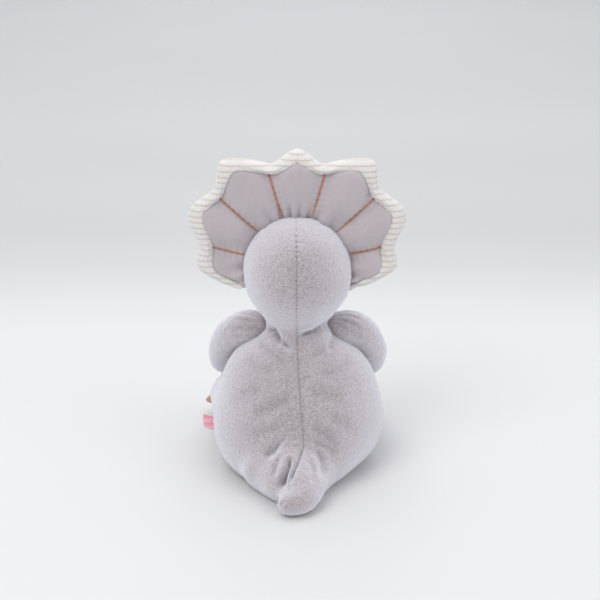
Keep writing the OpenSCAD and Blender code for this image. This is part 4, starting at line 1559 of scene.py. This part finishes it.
class SEW_OT_stage(bpy.types.Operator):
    """Sets the pale paper sweep, the soft lights and the camera"""

    bl_idname = "sew.stage"
    bl_label = "Set Stage, Lights and Camera"

    def execute(self, context):
        scene = bpy.context.scene
        near, flat, bend_run, bend_radius = 8.0, 11.6, 1.4, 0.891

        def sweep(u, v):
            # the paper lies flat from behind the viewer, then bends up into a wall
            run = v * 15.0
            bend = np.clip((run - flat) / bend_run, 0, 1) * math.pi / 2
            y = near - np.where(run < flat, run, flat + bend_radius * np.sin(bend))
            z = np.where(run < flat, 0, bend_radius * (1 - np.cos(bend)))
            z += np.maximum(run - flat - bend_run, 0)
            return np.stack([(u - 0.5) * 16.0, y, z], 1)

        floor = new_object("paper_sweep", wrapped(sweep, 12, 90))
        dress(floor, floor_material())
        world = bpy.data.worlds.new("Soft Room")
        world.use_nodes = True
        world.node_tree.nodes["Background"].inputs[0].default_value = (0.99, 0.99, 1.0, 1)
        world.node_tree.nodes["Background"].inputs[1].default_value = 0.74
        scene.world = world
        for name, place, aim, size, power, colour in (
            ("key", (0.55, 0.75, 1.15), (0, 0, 0.12), 0.9, 6.6, (1, 0.985, 0.97)),
            ("fill", (-0.95, 0.6, 0.75), (0, 0, 0.12), 1.0, 2.6, (0.97, 0.97, 1)),
            ("top", (0, -0.35, 1.35), (0, 0, 0.1), 1.1, 4.4, (1, 1, 1)),
            ("rim", (0, -2.6, 1.6), (0, 0, 0.16), 2.0, 12.0, (0.97, 0.98, 1)),
        ):
            light = bpy.data.lights.new(name, "AREA")
            light.shape = "DISK"
            light.size = size
            light.energy = power
            light.color = colour
            lamp = bpy.data.objects.new(name, light)
            scene.collection.objects.link(lamp)
            lamp.matrix_world = frame_at(Vector(place), Vector(place) - Vector(aim))
        lens = bpy.data.cameras.new("camera")
        lens.lens = 85
        lens.sensor_width = 36
        cam = bpy.data.objects.new("camera", lens)
        scene.collection.objects.link(cam)
        place = Vector((-2.2 * MM, 0.9989 + MID_Y, 0.4956))
        aim = Vector((-2.2 * MM, MID_Y, 0.132))
        cam.matrix_world = frame_at(place, place - aim)
        scene.camera = cam
        scene.view_settings.view_transform = "Standard"
        return {"FINISHED"}


# ------------------------------------------------------------------ panel


STEPS = (SEW_OT_body, SEW_OT_head, SEW_OT_frill, SEW_OT_arms, SEW_OT_legs, SEW_OT_horns,
         SEW_OT_embroidery, SEW_OT_label, SEW_OT_stage)


class SEW_PT_panel(bpy.types.Panel):
    """Lists every step that sews the dinosaur"""

    bl_idname = "SEW_PT_panel"
    bl_label = "Stuffed Dinosaur"
    bl_space_type = "VIEW_3D"
    bl_region_type = "UI"
    bl_category = "Stuffed Dinosaur"

    def draw(self, context):
        column = self.layout.column()
        for step in STEPS:
            column.operator(step.bl_idname)
        for name in PlushSizes.__annotations__:
            column.prop(context.scene.plush_sizes, name)
        for name in PlushColours.__annotations__:
            column.prop(context.scene.plush_colours, name)


CLASSES = (PlushColours, PlushSizes, *STEPS, SEW_PT_panel)


def register():
    for c in CLASSES:
        bpy.utils.register_class(c)
    bpy.types.Scene.plush_colours = bpy.props.PointerProperty(type=PlushColours)
    bpy.types.Scene.plush_sizes = bpy.props.PointerProperty(type=PlushSizes)


def unregister():
    del bpy.types.Scene.plush_sizes
    del bpy.types.Scene.plush_colours
    for c in reversed(CLASSES):
        bpy.utils.unregister_class(c)


def main():
    register()
    for step in STEPS:
        family, name = step.bl_idname.split(".")
        result = getattr(getattr(bpy.ops, family), name)()
        if result != {"FINISHED"}:
            raise RuntimeError(f"{step.bl_label} did not finish")


if __name__ == "__main__":
    main()
